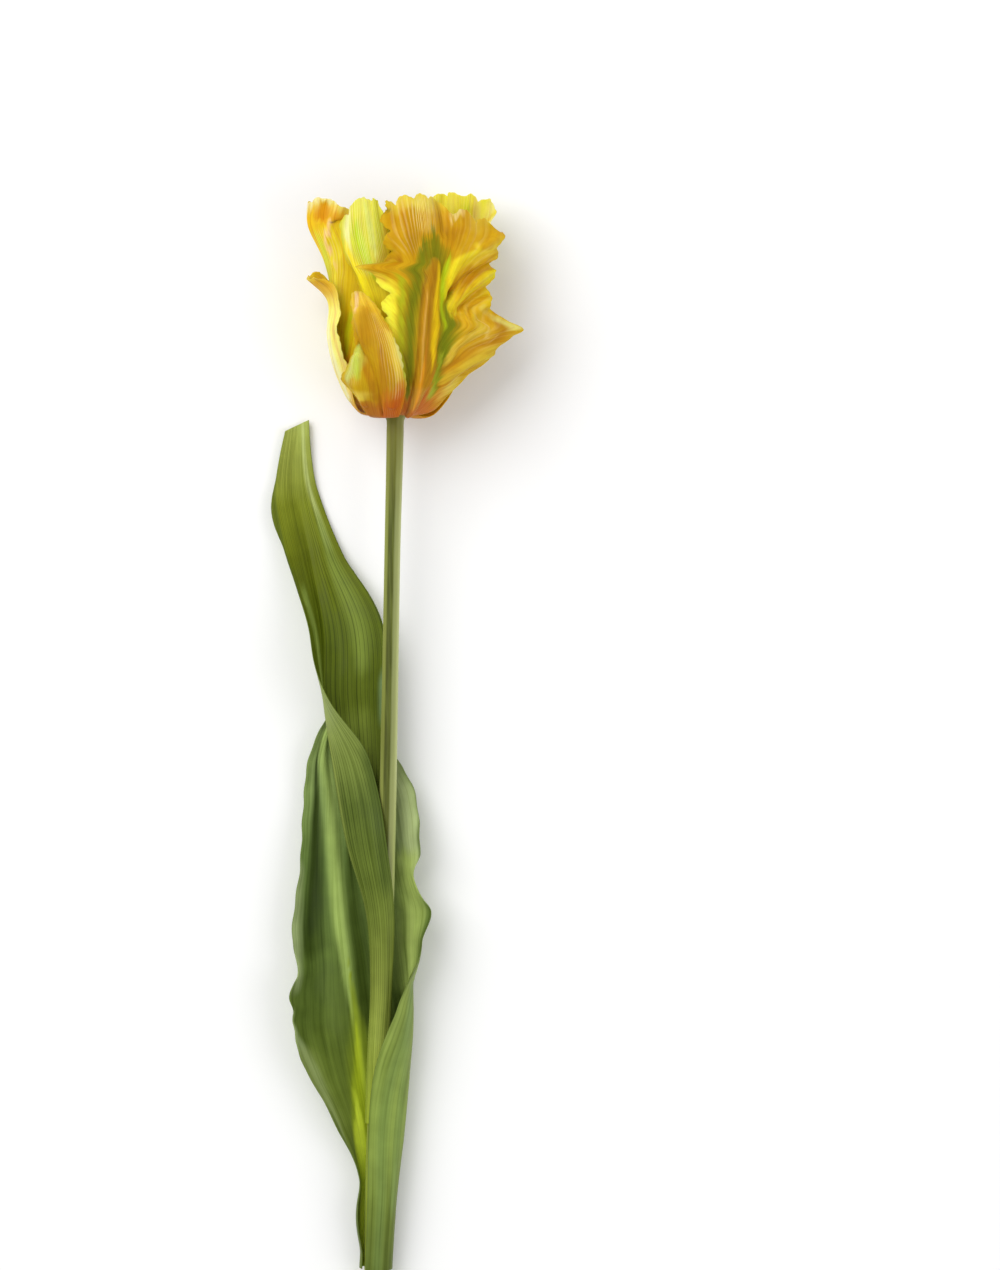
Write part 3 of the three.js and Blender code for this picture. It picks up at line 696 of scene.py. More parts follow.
# Each tepal: its bearing round the bloom in degrees (azimuth), its midrib's radius and height (profile), and
# its two halves. Teeth are a depth, count and place. A tip is its drop at the margins, then its notches'
# depth, count and place. A ruffle is a wave's height, count, slant and place.
GROUND = [(0, "C8601A"), (20, "C8741A"), (30, "C88E18"), (42, "CC9C16"), (60, "D2A616"), (82, "C99C12"),
    (92, "C6960E"), (100, "E0BE3C")]
FLAME = [(16, -5, 14), (30, -3, 18), (37, 1, 20), (47.5, -4, 17), (63, -5, 16), (70, -1, 12), (73.5, 1, 10)]

FRONT_RIGHT = dict(
    azimuth=[26, 26],
    profile=[[ROOT, 1.1], [15.5, 2.8], [25.5, 18], [28.5, 42], [28.5, 66], [22, 87]],
    left=dict(
        width=[2.4, 10, 17, 19.5, 19.5, 20, 20],
        turn=[-10, -16, -24, -38, -42, -40, -38, -38, -38, -36, -34],
        lobes=[(0.727, 0.022, 8), (0.717, 0.032, 5), (0.69, 0.05, 3)],
        toothed=(0.3, 0.6),
    ),
    right=dict(
        width=[3, 7, 10, 13, 21, 25, 25.5, 28, 31, 31.5, 28],
        turn=[-20, -10, -12, -8, -12, -16],
        lobes=[(0.55, 0.07, 12.5), (0.554, 0.024, 4), (0.47, 0.09, 6.5)],
        toothed=(0.6, 0.66),
    ),
    teeth=(3, 14, 0.2),
    tip=(0.05, 0.03, 3, 0.1),
    shoulder=0.055,
    ruffle=(1.4, 3.2, 1, 0.3),
    feather=1,
    keel=[(1.5, FLAME, 0.5)],
    folds=[
        (-0.9, [(35, -35, 20), (50, -42, 30), (70, -40, 30), (80, -30, 30)]),
        (-0.9, [(35, 40, 12), (42, 28, 14), (54, 20, 16), (64, 26, 14), (70, 18, 6)]),
        (1.9, [(66, 21, 8), (72, 26, 13), (76.5, 37, 18), (80, 58, 24), (83.5, 86, 24), (85, 100, 24)]),
        (-1.6, [(66, 28, 8), (70.5, 47, 14), (73.1, 65, 17), (76.5, 95, 20)]),
        (1.7, [(62, 36, 10), (64.4, 42, 13), (67.5, 59, 15), (70.9, 79, 18), (73.5, 98, 20)]),
        (-1.4, [(59.6, 37, 10), (61.4, 50, 12), (63.7, 66, 15), (66, 86, 18)]),
        (1.3, [(54, 38, 8), (57.5, 50, 12), (60, 70, 14), (62.5, 95, 18)]),
        (-0.7, [(41, 37, 10), (46.3, 52, 15), (49, 64, 17), (50.7, 80, 17)]),
        (1.2, [(45, 33, 6), (49, 38, 8), (51.7, 45, 10), (54.2, 56, 10)]),
        (1.2, [(36, 60, 20), (41.5, 62, 20), (44.5, 76, 20), (47, 92, 20)]),
        (-0.9, [(53.5, 84, 13), (56, 82, 16)]),
        (1.4, [(86, -42, 40), (93, -40, 50), (100, -40, 50)]),
        (-1.8, [(86, 14, 10), (93, 14, 12), (100, 12, 14)]),
        (1.5, [(88, 40, 30), (92, 50, 40), (100, 50, 40)]),
        (0.9, [(90, -90, 20), (100, -95, 25)]),
    ],
    ground=GROUND,
    strokes=[
        # gold out on the long lobe, with a painted highlight low on it, and burnt orange at the claw
        ("CBA32A", 0.9, [(24, 95, 55), (36, 90, 60), (48, 85, 50), (56, 90, 35)]),
        ("E6CE5E", 0.9, [(29, 70, 30), (33.5, 78, 30), (37, 75, 20)]),
        ("C87E1A", 0.8, [(0, 10, 240), (20, 20, 160), (28, 25, 110), (34, 20, 60), (39, 15, 10)], 1.5),
        ("BE5A12", 0.85, [(-5, 0, 220), (18, 5, 130), (24, 10, 90), (29, 10, 50), (35, 4, 10)]),
        # its left side: yellow at the margin, painted paler as a highlight along its fold, lime further in
        # and olive beside the midrib
        ("FFF442", 1, [(40, -75, 24), (55, -88, 36), (64, -90, 40), (69, -95, 30)]),
        ("B0B418", 0.95, [(35, -45, 14), (52, -58, 15), (62, -60, 14), (68, -52, 10)]),
        ("767C0A", 1, [(30, -30, 10), (50, -37, 19), (64, -36, 20), (70, -26, 20), (76, -22, 20),
            (81, -16, 6)], 1.2),
        # amber above that, with a gold edge and a brown fold
        ("BA9108", 1, [(70, -90, 30), (73, -82, 34), (77, -82, 32), (83, -85, 30)]),
        ("A88006", 0.6, [(79, -40, 14), (83, -42, 26), (88, -42, 30), (92, -40, 20)]),
        ("E2BE3C", 0.8, [(68.5, -90, 12), (70, -85, 20), (71.2, -90, 16)]),
        ("A8780E", 0.7, [(73.8, -95, 10), (74.7, -80, 16), (76, -70, 10)]),
        # olive to the right of the midrib and over its top
        ("74800A", 1, [(33, 42, 12), (40.6, 29, 15), (47.8, 24, 17), (53.7, 21, 16), (60, 26, 15),
            (64, 30, 12), (68, 24, 6)], 1.2),
        ("6E760A", 0.9, [(72, 4, 20), (76, 4, 30), (79, 2, 30), (82, 0, 20), (85, 0, 4)]),
        # the feathered right side: yellow crests between amber hollows
        ("BE8C0E", 0.95, [(66, 26, 7), (69, 38, 12), (71.5, 53, 16), (74, 72, 18), (76.5, 95, 20)]),
        ("EED424", 0.95, [(61, 36, 10), (63.4, 42, 17), (66.5, 59, 22), (69.9, 79, 26), (72.5, 98, 28)], 1.3),
        ("BE900E", 0.8, [(58.6, 37, 6), (60, 50, 10), (62, 66, 12), (64, 86, 14)]),
        ("D8B024", 0.9, [(54, 40, 8), (57.5, 50, 12), (60, 70, 14), (62.5, 95, 14)]),
        ("CFB23A", 0.9, [(44, 34, 6), (49, 38, 8), (51.7, 45, 10), (54.2, 56, 10)]),
        ("BE8814", 0.9, [(39, 34, 8), (43.2, 43, 13), (46.3, 53, 15), (48.8, 64, 15), (50.3, 76, 14),
            (51.2, 90, 12)], 1.2),
        ("D2B434", 0.9, [(37, 50, 14), (41.5, 62, 16), (44.5, 76, 16), (47, 90, 14)]),
        ("AE7C0E", 0.9, [(52.5, 86, 10), (54, 82, 14), (55.6, 80, 12)]),
        # painted highlights: pale lines on the long lobe's rolled rim and at its curled tip
        ("ECD88A", 0.4, [(52.5, 80, 3), (53, 71, 3.5), (54.5, 65, 3), (57, 62, 2)]),
        ("DCD074", 0.9, [(56.8, 92, 14), (58.5, 90, 12)]),
        ("A0AE26", 0.95, [(30, 40, 14), (34, 36, 17), (40, 26, 12), (45, 20, 4)]),
        # amber at the top, orange at its right shoulder, painted shade in its notch, and painted highlights
        # on its rolled top rim
        ("C08F10", 0.9, [(83, 18, 12), (86, 36, 26), (89, 56, 36), (94, 60, 40)]),
        ("D4AC3C", 0.6, [(87, 60, 20), (90, 65, 24)]),
        ("C8800E", 0.85, [(87, 100, 16), (90, 96, 16), (93, 95, 12)]),
        ("8E680C", 0.7, [(86, 16, 6), (93, 15, 5), (97, 14, 4)]),
        ("F4D494", 0.7, [(89.5, 26, 6), (91.5, 34, 14), (93, 40, 10)]),
        ("E8CC54", 0.8, [(93.5, -30, 60), (96, -30, 70), (100, -30, 80)]),
    ],
    bands=[
        # the midrib's stripes, and the firm yellow ridges beside it
        ("B0800E", 1, FLAME, 0.4),
        ("B8500E", 0.8, [(10, -5, 24), (20, -4, 20), (25, -3, 10), (30, -2, 3)]),
        ("E09A1E", 0.85, [(24, -6, 5), (34, -6, 9), (42, -6, 6), (50, -6, 2)]),
        # painted shadow: a dark line along the left edge of the raised midrib
        ("7E560A", 0.6, [(30, -19, 4), (47.5, -20, 5), (63, -20, 5), (70, -12, 3)]),
        ("8C5C0C", 0.4, [(36, -2, 4), (50, -6, 4), (66, -6, 4)]),
        ("D4A84E", 0.8, [(38, -9, 2), (50, -13, 2.8), (64, -12, 2.4)]),
        ("E8C60E", 1, [(42, 9, 2), (46, 7, 5), (50, 5, 6.5), (63, 6, 7), (70, 7, 5), (73.5, 6, 3)]),
        ("ECD01C", 0.95, [(66, 21, 5), (70, 25, 8), (73.5, 32, 15), (76.5, 47, 22), (78.5, 62, 22),
            (80, 75, 16), (81, 85, 6)], 1.6),
        ("E0C038", 0.7, [(77, 60, 10), (79.5, 75, 20), (82, 90, 20), (83.5, 100, 16)]),
        # painted highlight along the top of the yellow crest
        ("F6E430", 0.5, [(72, 25, 4), (76, 33, 8), (78.5, 50, 10), (80, 60, 6)]),
        ("ACC412", 0.95, [(56, 17, 3), (62, 17, 6), (68, 15.5, 7.5), (72, 17, 7.5), (75, 20, 5),
            (78, 24, 1)]),
    ],
    lined=[
        (1, [(87, -16, 30), (92, -16, 42), (95, -16, 30)]),
        (0.3, [(80, -50, 40), (88, -60, 40), (95, -60, 30)]),
        (0.15, [(50, 70, 50), (70, 70, 50), (95, 60, 40)]),
        (0.35, [(10, 10, 100), (25, 10, 80), (32, 10, 50)]),
    ],
)

FRONT_LEFT = dict(
    azimuth=[-6, -6, -8, -14, -28, -38],
    profile=[[ROOT, 2.3], [12, 4.2], [20.5, 19], [24, 40], [25.2, 62], [25, 86]],
    left=dict(width=[3, 5, 6, 6, 6, 6, 7, 9, 13, 17, 16], turn=[-20, -15, -30, -25, -30, -38]),
    right=dict(width=[3, 7, 11, 13, 11, 7], turn=[-20, -15, -40, -40, -40, -40]),
    teeth=(1.4, 9, 0.5),
    tip=(0.08, 0.03, 1.2, 0.64),
    shoulder=-0.015,
    ruffle=(0.8, 3, 0.5, 0.1),
    feather=0.2,
    folds=[
        (0.9, [(78, -50, 30), (88, -40, 40), (97, -35, 40)]),
        (-0.7, [(82, 25, 20), (90, 30, 24), (97, 35, 24)]),
        (0.7, [(82, 75, 25), (97, 80, 25)]),
        (0.8, [(68, -62, 20), (78, -58, 18), (83, -72, 16)]),
    ],
    ground=[(0, "C8601A"), (30, "CC981A"), (45, "D2B216"), (60, "E0C81C"), (75, "D2C420"), (85, "CAC82C"),
        (100, "DEDA48")],
    strokes=[
        ("B2CC14", 0.95, [(74, 0, 20), (79, -14, 30), (84, -24, 30), (88, -30, 20)]),
        ("C4D46A", 0.7, [(80, 22, 12), (88, 15, 20), (94, 8, 14)]),
        ("A2A618", 0.85, [(76, 50, 16), (83, 50, 28), (90, 58, 30), (96, 62, 20)]),
        ("FAFAA4", 0.9, [(78, -66, 12), (84, -68, 20), (90, -60, 26), (95, -50, 20)]),
        ("AE9416", 0.85, [(72, 20, 40), (80, 55, 34), (87, 80, 24)]),
        ("F0D81C", 1, [(50, -60, 50), (68, -55, 30), (75, -55, 24), (79, -60, 20), (84, -76, 14)], 1.2),
    ],
    bands=[
        # painted shade: a dim dark yellow in the hollow beside its rolled left margin
        ("C8AA0A", 1, [(60, -100, 20), (70, -100, 24), (75, -100, 30), (79, -102, 27), (82.5, -102, 14)],
            0.4),
    ],
    lined=[(0.9, [(76, -10, 60), (86, 0, 90), (97, 0, 100)])],
)

INNER_RIGHT = dict(
    azimuth=[80, 80],
    profile=[[ROOT, 2.3], [12, 4.2], [20.5, 19], [24, 40], [24.5, 60], [23, 78]],
    left=dict(width=[3, 7, 12, 14, 14, 9], turn=[-20, -15, -45, -45, -42, -40]),
    right=dict(width=[3, 7, 12, 14, 13, 9], turn=[-20, -15, -45, -45, -42, -40]),
    teeth=(1.4, 9, 0.3),
    tip=(0.08, 0.03, 2, 0.3),
    ruffle=(0.8, 3, 0.5, 0.5),
    feather=0.7,
    folds=[],
    ground=GROUND,
    strokes=[
        ("A0AA18", 0.8, [(40, 0, 30), (60, 0, 50), (80, 0, 40), (95, 0, 10)]),
        ("AC7C12", 0.8, [(30, 0, 12), (60, 0, 14), (80, 0, 8)]),
        ("EED41E", 0.8, [(50, 90, 30), (90, 80, 30)]),
        ("EED41E", 0.8, [(50, -90, 30), (90, -80, 30)]),
    ],
    lined=[(0.5, [(30, 0, 100), (90, 0, 100)])],
)

LEFT = dict(
    azimuth=[-88, -88, -89, -90, -90, -88, -84],
    profile=[[ROOT, 2.1], [11.5, 3.6], [19.5, 14.5], [23.5, 29], [26.2, 45], [30.5, 60], [37.5, 74],
        [37, 86]],
    left=dict(width=[3, 8, 12, 12.5, 13, 8], turn=[-20, -15, -50, -45, -40, -50]),
    right=dict(width=[3, 9, 17, 21, 18, 19], fold=[0, 0, 0, -12, -42, -46],
        turn=[-20, -15, -58, -70, -58, -54]),
    teeth=(1.4, 9, 0.1),
    tip=(0.045, 0.01, 2.5, 0.2),
    shoulder=-0.05,
    ruffle=(0.8, 3, 0.5, 0.6),
    feather=0.3,
    folds=[
        (-1.6, [(88, 36, 25), (92, 40, 34), (95, 42, 28)]),
        (1.1, [(97.5, 10, 50), (100, 30, 90)]),
        (1.0, [(70, 30, 12), (76, 29, 12), (81.6, 50, 16), (86, 58, 14)]),
        (-0.8, [(66, 50, 16), (74, 55, 16), (80, 75, 14)]),
    ],
    ground=[(0, "C8601A"), (30, "CC8E18"), (40, "D2B014"), (50, "DCC414"), (60, "E4CC1C"), (72, "E8D028"),
        (82, "E4C222"), (90, "DAAA24"), (100, "F0D47C")],
    strokes=[
        # painted light: bright yellow low on its right half, lifting the shade in the gap between its
        # neighbours
        ("FFF038", 0.95, [(36, 30, 26), (46, 32, 26), (56, 38, 20), (62, 30, 10)]),
        ("CCD42A", 0.85, [(60, -20, 30), (66, 0, 28), (72, 10, 20), (80, 16, 10)]),
        ("E8B818", 0.7, [(76, -10, 20), (82, 0, 30), (89, 0, 30)]),
        ("D08E10", 1, [(86, 42, 12), (89, 36, 24), (92, 38, 30), (94.5, 40, 24)]),
        # painted highlight: pale along its curled top rim
        ("F6E2A4", 0.95, [(86, -10, 10), (93, -2, 16), (96.5, 10, 30), (98.5, 40, 60), (100, 40, 90)]),
        ("EEBE88", 0.9, [(70, 36, 4), (73, 33, 6), (76, 30, 6), (81.6, 50, 9), (86, 58, 8)]),
        ("D89A20", 0.7, [(87, 70, 14), (92, 70, 16)]),
    ],
    bands=[
        # painted shade: dark yellow in the hollow along its right margin
        ("CCAC08", 1, [(44, 80, 28), (50, 84, 32), (56, 86, 36), (62, 86, 50), (69, 90, 50), (73, 100, 40)],
            0.4),
        ("C8D018", 0.8, [(38, 60, 20), (44, 62, 20), (50, 70, 14)]),
    ],
    lined=[(0.5, [(55, 10, 60), (80, 20, 50)])],
)

BACK_LEFT = dict(
    azimuth=[-168, -164, -158, -156, -156, -156],
    profile=[[ROOT, 2.1], [12, 3.8], [20, 19], [23.2, 40], [24, 60], [22.5, 76]],
    left=dict(width=[3, 8, 15, 17, 17, 12], turn=[-20, -15, -50, -45, -40, -40]),
    right=dict(width=[3, 8, 13, 14, 14, 10], turn=[-20, -15, -50, -45, -40, -40]),
    teeth=(1.4, 9, 0.7),
    tip=(0.1, 0.03, 3, 0.2),
    ruffle=(0.8, 3, 0.5, 0.2),
    feather=0.7,
    folds=[],
    ground=[(0, "C8601A"), (30, "CC921A"), (45, "D0AE0E"), (70, "D8BA12"), (100, "E2CA2A")],
    strokes=[
        ("96A216", 0.8, [(35, 0, 30), (55, 0, 55), (75, 0, 50), (90, 0, 20)]),
        ("AC7C12", 0.8, [(30, 0, 12), (60, 0, 14), (75, 0, 8)]),
        ("D0AA0C", 0.7, [(50, 90, 40), (75, 90, 40)]),
    ],
    lined=[(0.5, [(30, 0, 100), (90, 0, 100)])],
)

CREST_FOLDS = (-80, 1), (-58, -1), (-35, 1), (-12, -1), (15, 1), (40, -1), (65, 1)  # place across, and way


def rib(place, side, inner, outer, width):
    """A slanting rib's line, up from its place beside the midrib and out to the margin."""
    middle, end = (place + 6, side * outer, width + 4), (place + 10, side * 100, width + 6)
    return [(place, side * inner, width), middle, end]


BACK_RIGHT = dict(
    azimuth=[128, 132, 135, 136, 137, 138],
    profile=[[ROOT, 1], [15, 1.2], [25, 18], [28, 43], [28.5, 66], [26, 90]],
    left=dict(width=[3, 7.5, 17, 22, 23, 28], turn=[-20, -12, -45, -40, -25, -5]),
    right=dict(width=[3, 10, 18, 21, 22, 16], turn=[-20, -12, -50, -45, -42, -40]),
    teeth=(1.8, 9, 0.4),
    tip=(0.06, 0.022, 2.6, 0.6),
    ruffle=(1.2, 3.4, 0.7, 0.8),
    feather=1,
    keel=[(1.1, [(30, 0, 12), (50, 0, 13), (70, 0, 12), (78, 0, 8)], 0.5)],
    folds=[
        *[(0.7, rib(50 + 11 * i, side, 30, 60, 10)) for i in range(3) for side in (-1, 1)],
        *[(way * 1.2, [(90, at, 10), (100, at + 5 * way, 13)]) for at, way in CREST_FOLDS],
    ],
    # golden at its claw, painted brighter there to lift its shade where it faces down
    ground=[(0, "D07A1C"), (16, "DC9820"), (30, "DCA828"), (60, "D8B01C"), (82, "D6C62C"), (90, "D2CE30"),
        (100, "E6E452")],
    strokes=[
        ("7E8A0E", 0.95, [(34, 0, 30), (50, 0, 42), (70, 0, 46), (82, 0, 30)]),
        ("98C61A", 0.95, [(86, -32, 6), (90, -30, 12), (94, -29, 13), (98, -28, 6)]),
        ("D6CF8C", 0.8, [(90, -62, 14), (95, -60, 14)]),
        ("FFF8A8", 1, [(82, -95, 20), (88, -92, 26), (96, -92, 26)]),
        ("F8EC60", 0.8, [(95, 10, 100), (100, 10, 100)]),
        *[("E8CC26", 0.8, rib(50 + 11 * i, side, 40, 65, 8)) for i in range(4) for side in (-1, 1)],
    ],
    bands=[("AC7C12", 1, [(28, 0, 10), (50, 0, 12), (70, 0, 12), (77, 0, 9)], 0.35)],
    lined=[(0.3, [(86, 0, 100), (100, 0, 100)])],
)

SHORT_LEFT = dict(
    azimuth=[-108, -98, -93, -92, -91, -88],
    profile=[[ROOT, 1], [14, 1.2], [23, 14], [27.8, 30], [28.3, 44], [37, 53]],
    left=dict(width=[3, 9, 15, 17, 16, 12], turn=[-20, -12, -45, -40, -40, -50]),
    right=dict(width=[2.4, 8, 15, 18.5, 17, 9], turn=[-20, -12, -45, -38, -36, -50]),
    teeth=(1, 7, 0.3),
    tip=(0.06, 0.015, 2, 0.1),
    ruffle=(0.6, 2, 0.4, 0.4),
    feather=0.25,
    folds=[(0.5, [(30, 40, 20), (60, 40, 20), (80, 40, 20)])],
    ground=[(0, "C46A1E"), (20, "CC8428"), (32, "F4C856"), (50, "FFF074"), (75, "FFEC6C"), (86, "D8AC34"),
        (94, "CFA22C"), (100, "E2C25C")],
    strokes=[
        ("FFF4B8", 0.8, [(30, 60, 30), (48, 50, 25), (62, 45, 20), (75, 30, 15)]),
        ("DCDE74", 0.7, [(42, 15, 20), (60, 10, 20), (75, 10, 16)]),
        ("E8B45C", 0.8, [(30, 90, 10), (50, 86, 10), (70, 80, 10), (80, 70, 6)]),
        ("C8D24A", 0.6, [(40, -50, 40), (70, -50, 40)]),
        ("A8820E", 0.6, [(90, 75, 20), (95, 70, 20)]),
    ],
    lined=[(0.5, [(30, 50, 60), (75, 50, 60)])],
)

SHORT_FRONT = dict(
    azimuth=[-45, -34, -27, -26, -27, -30],
    profile=[[ROOT, 0.6], [15, 0.3], [25.8, 12], [30.3, 27], [32, 38], [33, 48]],
    left=dict(
        width=[2.4, 3, 3, 5, 9.5, 7.2, 3.4, 4.6, 5.4, 5, 3.5],
        turn=[-20, -10, -10, -15, -40, -50],
        lobes=[(0.41, 0.08, 2)],
    ),
    right=dict(width=[2.6, 11, 17, 15, 9.2, 3.6], turn=[-20, -10, -22, -18, -30, -50]),
    teeth=(0.5, 7, 0.3),
    tip=(0.08, 0.01, 2, 0.4),
    ruffle=(0.5, 2, 0.4, 0.4),
    feather=0,
    folds=[
        (2.0, [(30, -30, 40), (42, -35, 50), (53, -40, 40)]),
        (-1.3, [(22, 38, 10), (34, 33, 12), (42.5, 27, 14), (51, 14, 16), (57, -8, 20), (60.5, -45, 35)]),
        (1.3, [(30, 70, 20), (42, 62, 24), (55, 45, 30), (64, 15, 40), (72, 0, 60), (84, 0, 70)]),
        (-0.8, [(72, 62, 16), (80, 60, 20), (88, 60, 20)]),
    ],
    ground=[(0, "C4581A"), (16, "C4681A"), (25, "B87A12"), (40, "B88A0E"), (55, "C29812"), (68, "BE920E"),
        (80, "D2A820"), (90, "E2B838"), (100, "E6BC48")],
    strokes=[
        # amber over the hood, deepened as painted shade inside it
        ("B8880E", 0.8, [(61, 10, 40), (70, 20, 50), (78, 25, 45), (85, 30, 30)]),
        ("AE7C0C", 0.85, [(35, 50, 14), (45, 50, 18), (52, 55, 18), (58, 55, 10)]),
        ("E8C64C", 0.8, [(42, 80, 10), (55, 82, 14), (68, 85, 16)]),
        ("A4B434", 0.9, [(36, 97, 8), (44, 97, 10), (50, 98, 8)]),
        ("DCD684", 0.85, [(50, 97, 10), (56, 96, 14), (62, 97, 12)]),
        # painted highlight at the hood's top left
        ("F0CA9A", 0.9, [(86, -20, 20), (92, -10, 30), (97, -5, 34)]),
        ("E0C458", 0.8, [(31, 82, 16), (36, 82, 16)]),
        ("C07418", 0.8, [(0, 60, 200), (20, 65, 140), (30, 70, 90), (37, 80, 50), (42, 90, 15)], 1.5),
        ("BE5A12", 0.85, [(-5, 60, 170), (14, 65, 120), (24, 72, 80), (31, 80, 45), (38, 90, 12)]),
    ],
    bands=[
        # its left margin bulges out below a slanting fold, pale green above and gold below
        ("C8A616", 1, [(30, -40, 70), (36, -40, 72), (43, -40, 66), (50, -50, 60), (56, -60, 50)], 0.5),
        ("A8740E", 0.8, [(33, 20, 10), (42, 14, 12), (50, 0, 12)]),
        ("C0CA58", 0.95, [(43, -60, 20), (48, -50, 50), (53, -45, 60), (57, -50, 50), (59, -50, 30)], 1.2),
        ("B4CC3C", 0.7, [(45, -20, 16), (50, -30, 24), (54, -40, 20)]),
        ("E8D05A", 0.9, [(34, -40, 60), (35, -40, 70)]),
        # painted shade: a dark line along the slanting crease
        ("A06C10", 0.35, [(22, 38, 3), (34, 33, 3.5), (42.5, 27, 4), (51, 14, 5), (57, -8, 8),
            (60.5, -45, 16)]),
        ("B4701E", 1, [(-10, -50, 95), (10, -45, 90), (20, -45, 84), (29, -42, 76)], 0.4),
    ],
    lined=[
        (0.5, [(36, 80, 20), (50, 75, 34), (66, 66, 40), (80, 60, 30)]),
        (0.6, [(42, -50, 50), (54, -50, 50)]),
        (0.2, [(0, 60, 100), (26, 70, 60)]),
    ],
)

petal_skin = blade_skin(
    "petal_skin", roughness=0.5, subsurface=0.6, veins=14, streaky=0.36, dark="D4A858", light="423C14",
    depth=0.00015, lines=17, line="D8C08C", blend="SCREEN", thin=0.74,
)

for name, node_name, petal, seed in (
    ("flamed_tepal", "petal_front_right", FRONT_RIGHT, 1.0),
    ("hooded_tepal", "petal_front_left", FRONT_LEFT, 2.0),
    ("hidden_tepal", "petal_right", INNER_RIGHT, 3.0),
    ("outcurved_tepal", "petal_left", LEFT, 4.0),
    ("low_left_tepal", "petal_back_left", BACK_LEFT, 5.0),
    ("low_right_tepal", "petal_back_right", BACK_RIGHT, 6.0),
    ("pale_short_tepal", "petal_short_left", SHORT_LEFT, 7.0),
    ("golden_short_tepal", "petal_short_front", SHORT_FRONT, 8.0),
):
    steps = FLAMED_GRID if petal is FRONT_RIGHT else PETAL_GRID
    sheet = blade_mesh(name, petal_blade(petal), *steps, PETAL_THICKNESS, in_bloom)
    made = grown(name, sheet, raised_veins, Veins=30.0, Height=0.00007, Seed=seed, Material=petal_skin)
    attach(made, "root")
    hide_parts(node_name)

# ---------------------------------------------------------------- pistil
# The ovary is a smooth three-sided pale green column, and its stigma three thick frilled lobes, moist and
# paler. It stands on the receptacle, out of sight in the cup.

PISTIL = [  # radius and height up its outline
    (0, 0), (2.1, 0), (2.3, 2), (3.2, 6), (3.4, 13), (2.9, 18), (2.2, 20), (3.6, 22), (3.2, 23.4), (0, 23),
]
PISTIL_FOOT = RECEPTACLE_TOP + 0.3
PISTIL_GRID = 96, 90  # steps round it and up it

radii, heights = np.array(PISTIL).T
around, steps_up = PISTIL_GRID
turns, ups = np.meshgrid(np.arange(around) * 2 * np.pi / around, np.linspace(0, 1, steps_up), indexing="ij")
radius = np.maximum(through(radii, ups), 0.02)
height = PISTIL_FOOT + through(heights, ups)
radius = radius * (1 + 0.14 * rise(height, 5, 20) * np.cos(3 * turns))
stigma = rise(height, 21, 24) * rise(radius, 1, 3)
radius = radius + stigma * (0.35 * np.cos(3 * turns) + 0.12 * np.sin(24 * turns))
column = in_bloom(np.stack([radius * np.sin(turns), height, radius * np.cos(turns)], -1))
grid = np.arange(turns.size).reshape(turns.shape)
beside = np.roll(grid, -1, axis=0)
sides = np.stack([grid[:, :-1], beside[:, :-1], beside[:, 1:], grid[:, 1:]], -1).reshape(-1, 4)
mesh = bpy.data.meshes.new("ovary_and_stigma")
caps = [grid[::-1, 0].tolist(), grid[:, -1].tolist()]
mesh.from_pydata(placed(column.reshape(-1, 3)).tolist(), [], sides.tolist() + caps)
mesh.polygons.foreach_set("use_smooth", np.ones(len(mesh.polygons), bool))

pistil_skin, tree, shader = surface("pistil_skin", 0.35, sheen=0.1, sheen_tint="EDF2C0", subsurface=0.3)
place = node(tree, "ShaderNodeTexCoord").outputs["Object"]
flecks = noise(tree, place, (700, 700, 700), 4)
skin = mixed(tree, flecks, colour("A7B653"), colour("CBD488"))
top = ranged(tree, parts_of(tree, place)["Y"], neck + 0.0215, neck + 0.0245)
skinned(tree, shader, mixed(tree, top, skin, colour("E4DFA0")), flecks, 0.3, 0.0002)
mesh.materials.append(pistil_skin)
pistil = new_object("ovary_and_stigma", mesh)
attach(pistil, "root")
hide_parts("pistil")

# ---------------------------------------------------------------- stamens
# Six stamens stand in a ring round the pistil. Each is a tapered filament with a long dark anther on its top,
# which has split along its side and is dusty with pollen. They grow out of the receptacle.

tree, given = new_tree("stamen_ring", Stamens=6, Ring_radius=0.0035, Lean=13.0, Filament=0.0105, Anther=0.013)
filament = node(tree, "GeometryNodeMeshCone", {
    "Vertices": 16, "Side Segments": 10, "Radius Top": 0.0007, "Radius Bottom": 0.00095,
    "Depth": given["Filament"],
})
pod = node(tree, "GeometryNodeMeshUVSphere", {"Segments": 32, "Rings": 40, "Radius": 1.0})
side = parts_of(tree, node(tree, "GeometryNodeInputPosition"))
split = ranged(tree, maths(tree, "ABSOLUTE", side["X"]), 0.3, 0.0, 0.0, 0.35, interpolation_type="SMOOTHSTEP")
dent = maths(tree, "MULTIPLY", maths(tree, "MULTIPLY", split, -1.0), side["Y"])
dent = node(tree, "ShaderNodeCombineXYZ", {"Y": dent})
grooved = node(tree, "GeometryNodeSetPosition", {"Geometry": pod, "Offset": dent})
half_long = maths(tree, "MULTIPLY", given["Anther"], 0.5)
raised = maths(tree, "ADD", maths(tree, "MULTIPLY", given["Anther"], 0.4), given["Filament"])
anther = node(tree, "GeometryNodeTransform", {
    "Geometry": grooved, "Translation": node(tree, "ShaderNodeCombineXYZ", {"Z": raised}),
    "Scale": node(tree, "ShaderNodeCombineXYZ", {"X": 0.0017, "Y": 0.00136, "Z": half_long}),
})
stamen = node(tree, "GeometryNodeJoinGeometry")
for part in (filament, anther):
    tree.links.new(part.outputs[0], stamen.inputs[0])
outwards = node(tree, "ShaderNodeCombineXYZ", {"Y": maths(tree, "RADIANS", given["Lean"])})
leaning = node(tree, "GeometryNodeTransform", {"Geometry": stamen, "Rotation": outwards})
places = {"Vertices": given["Stamens"], "Radius": given["Ring radius"]}
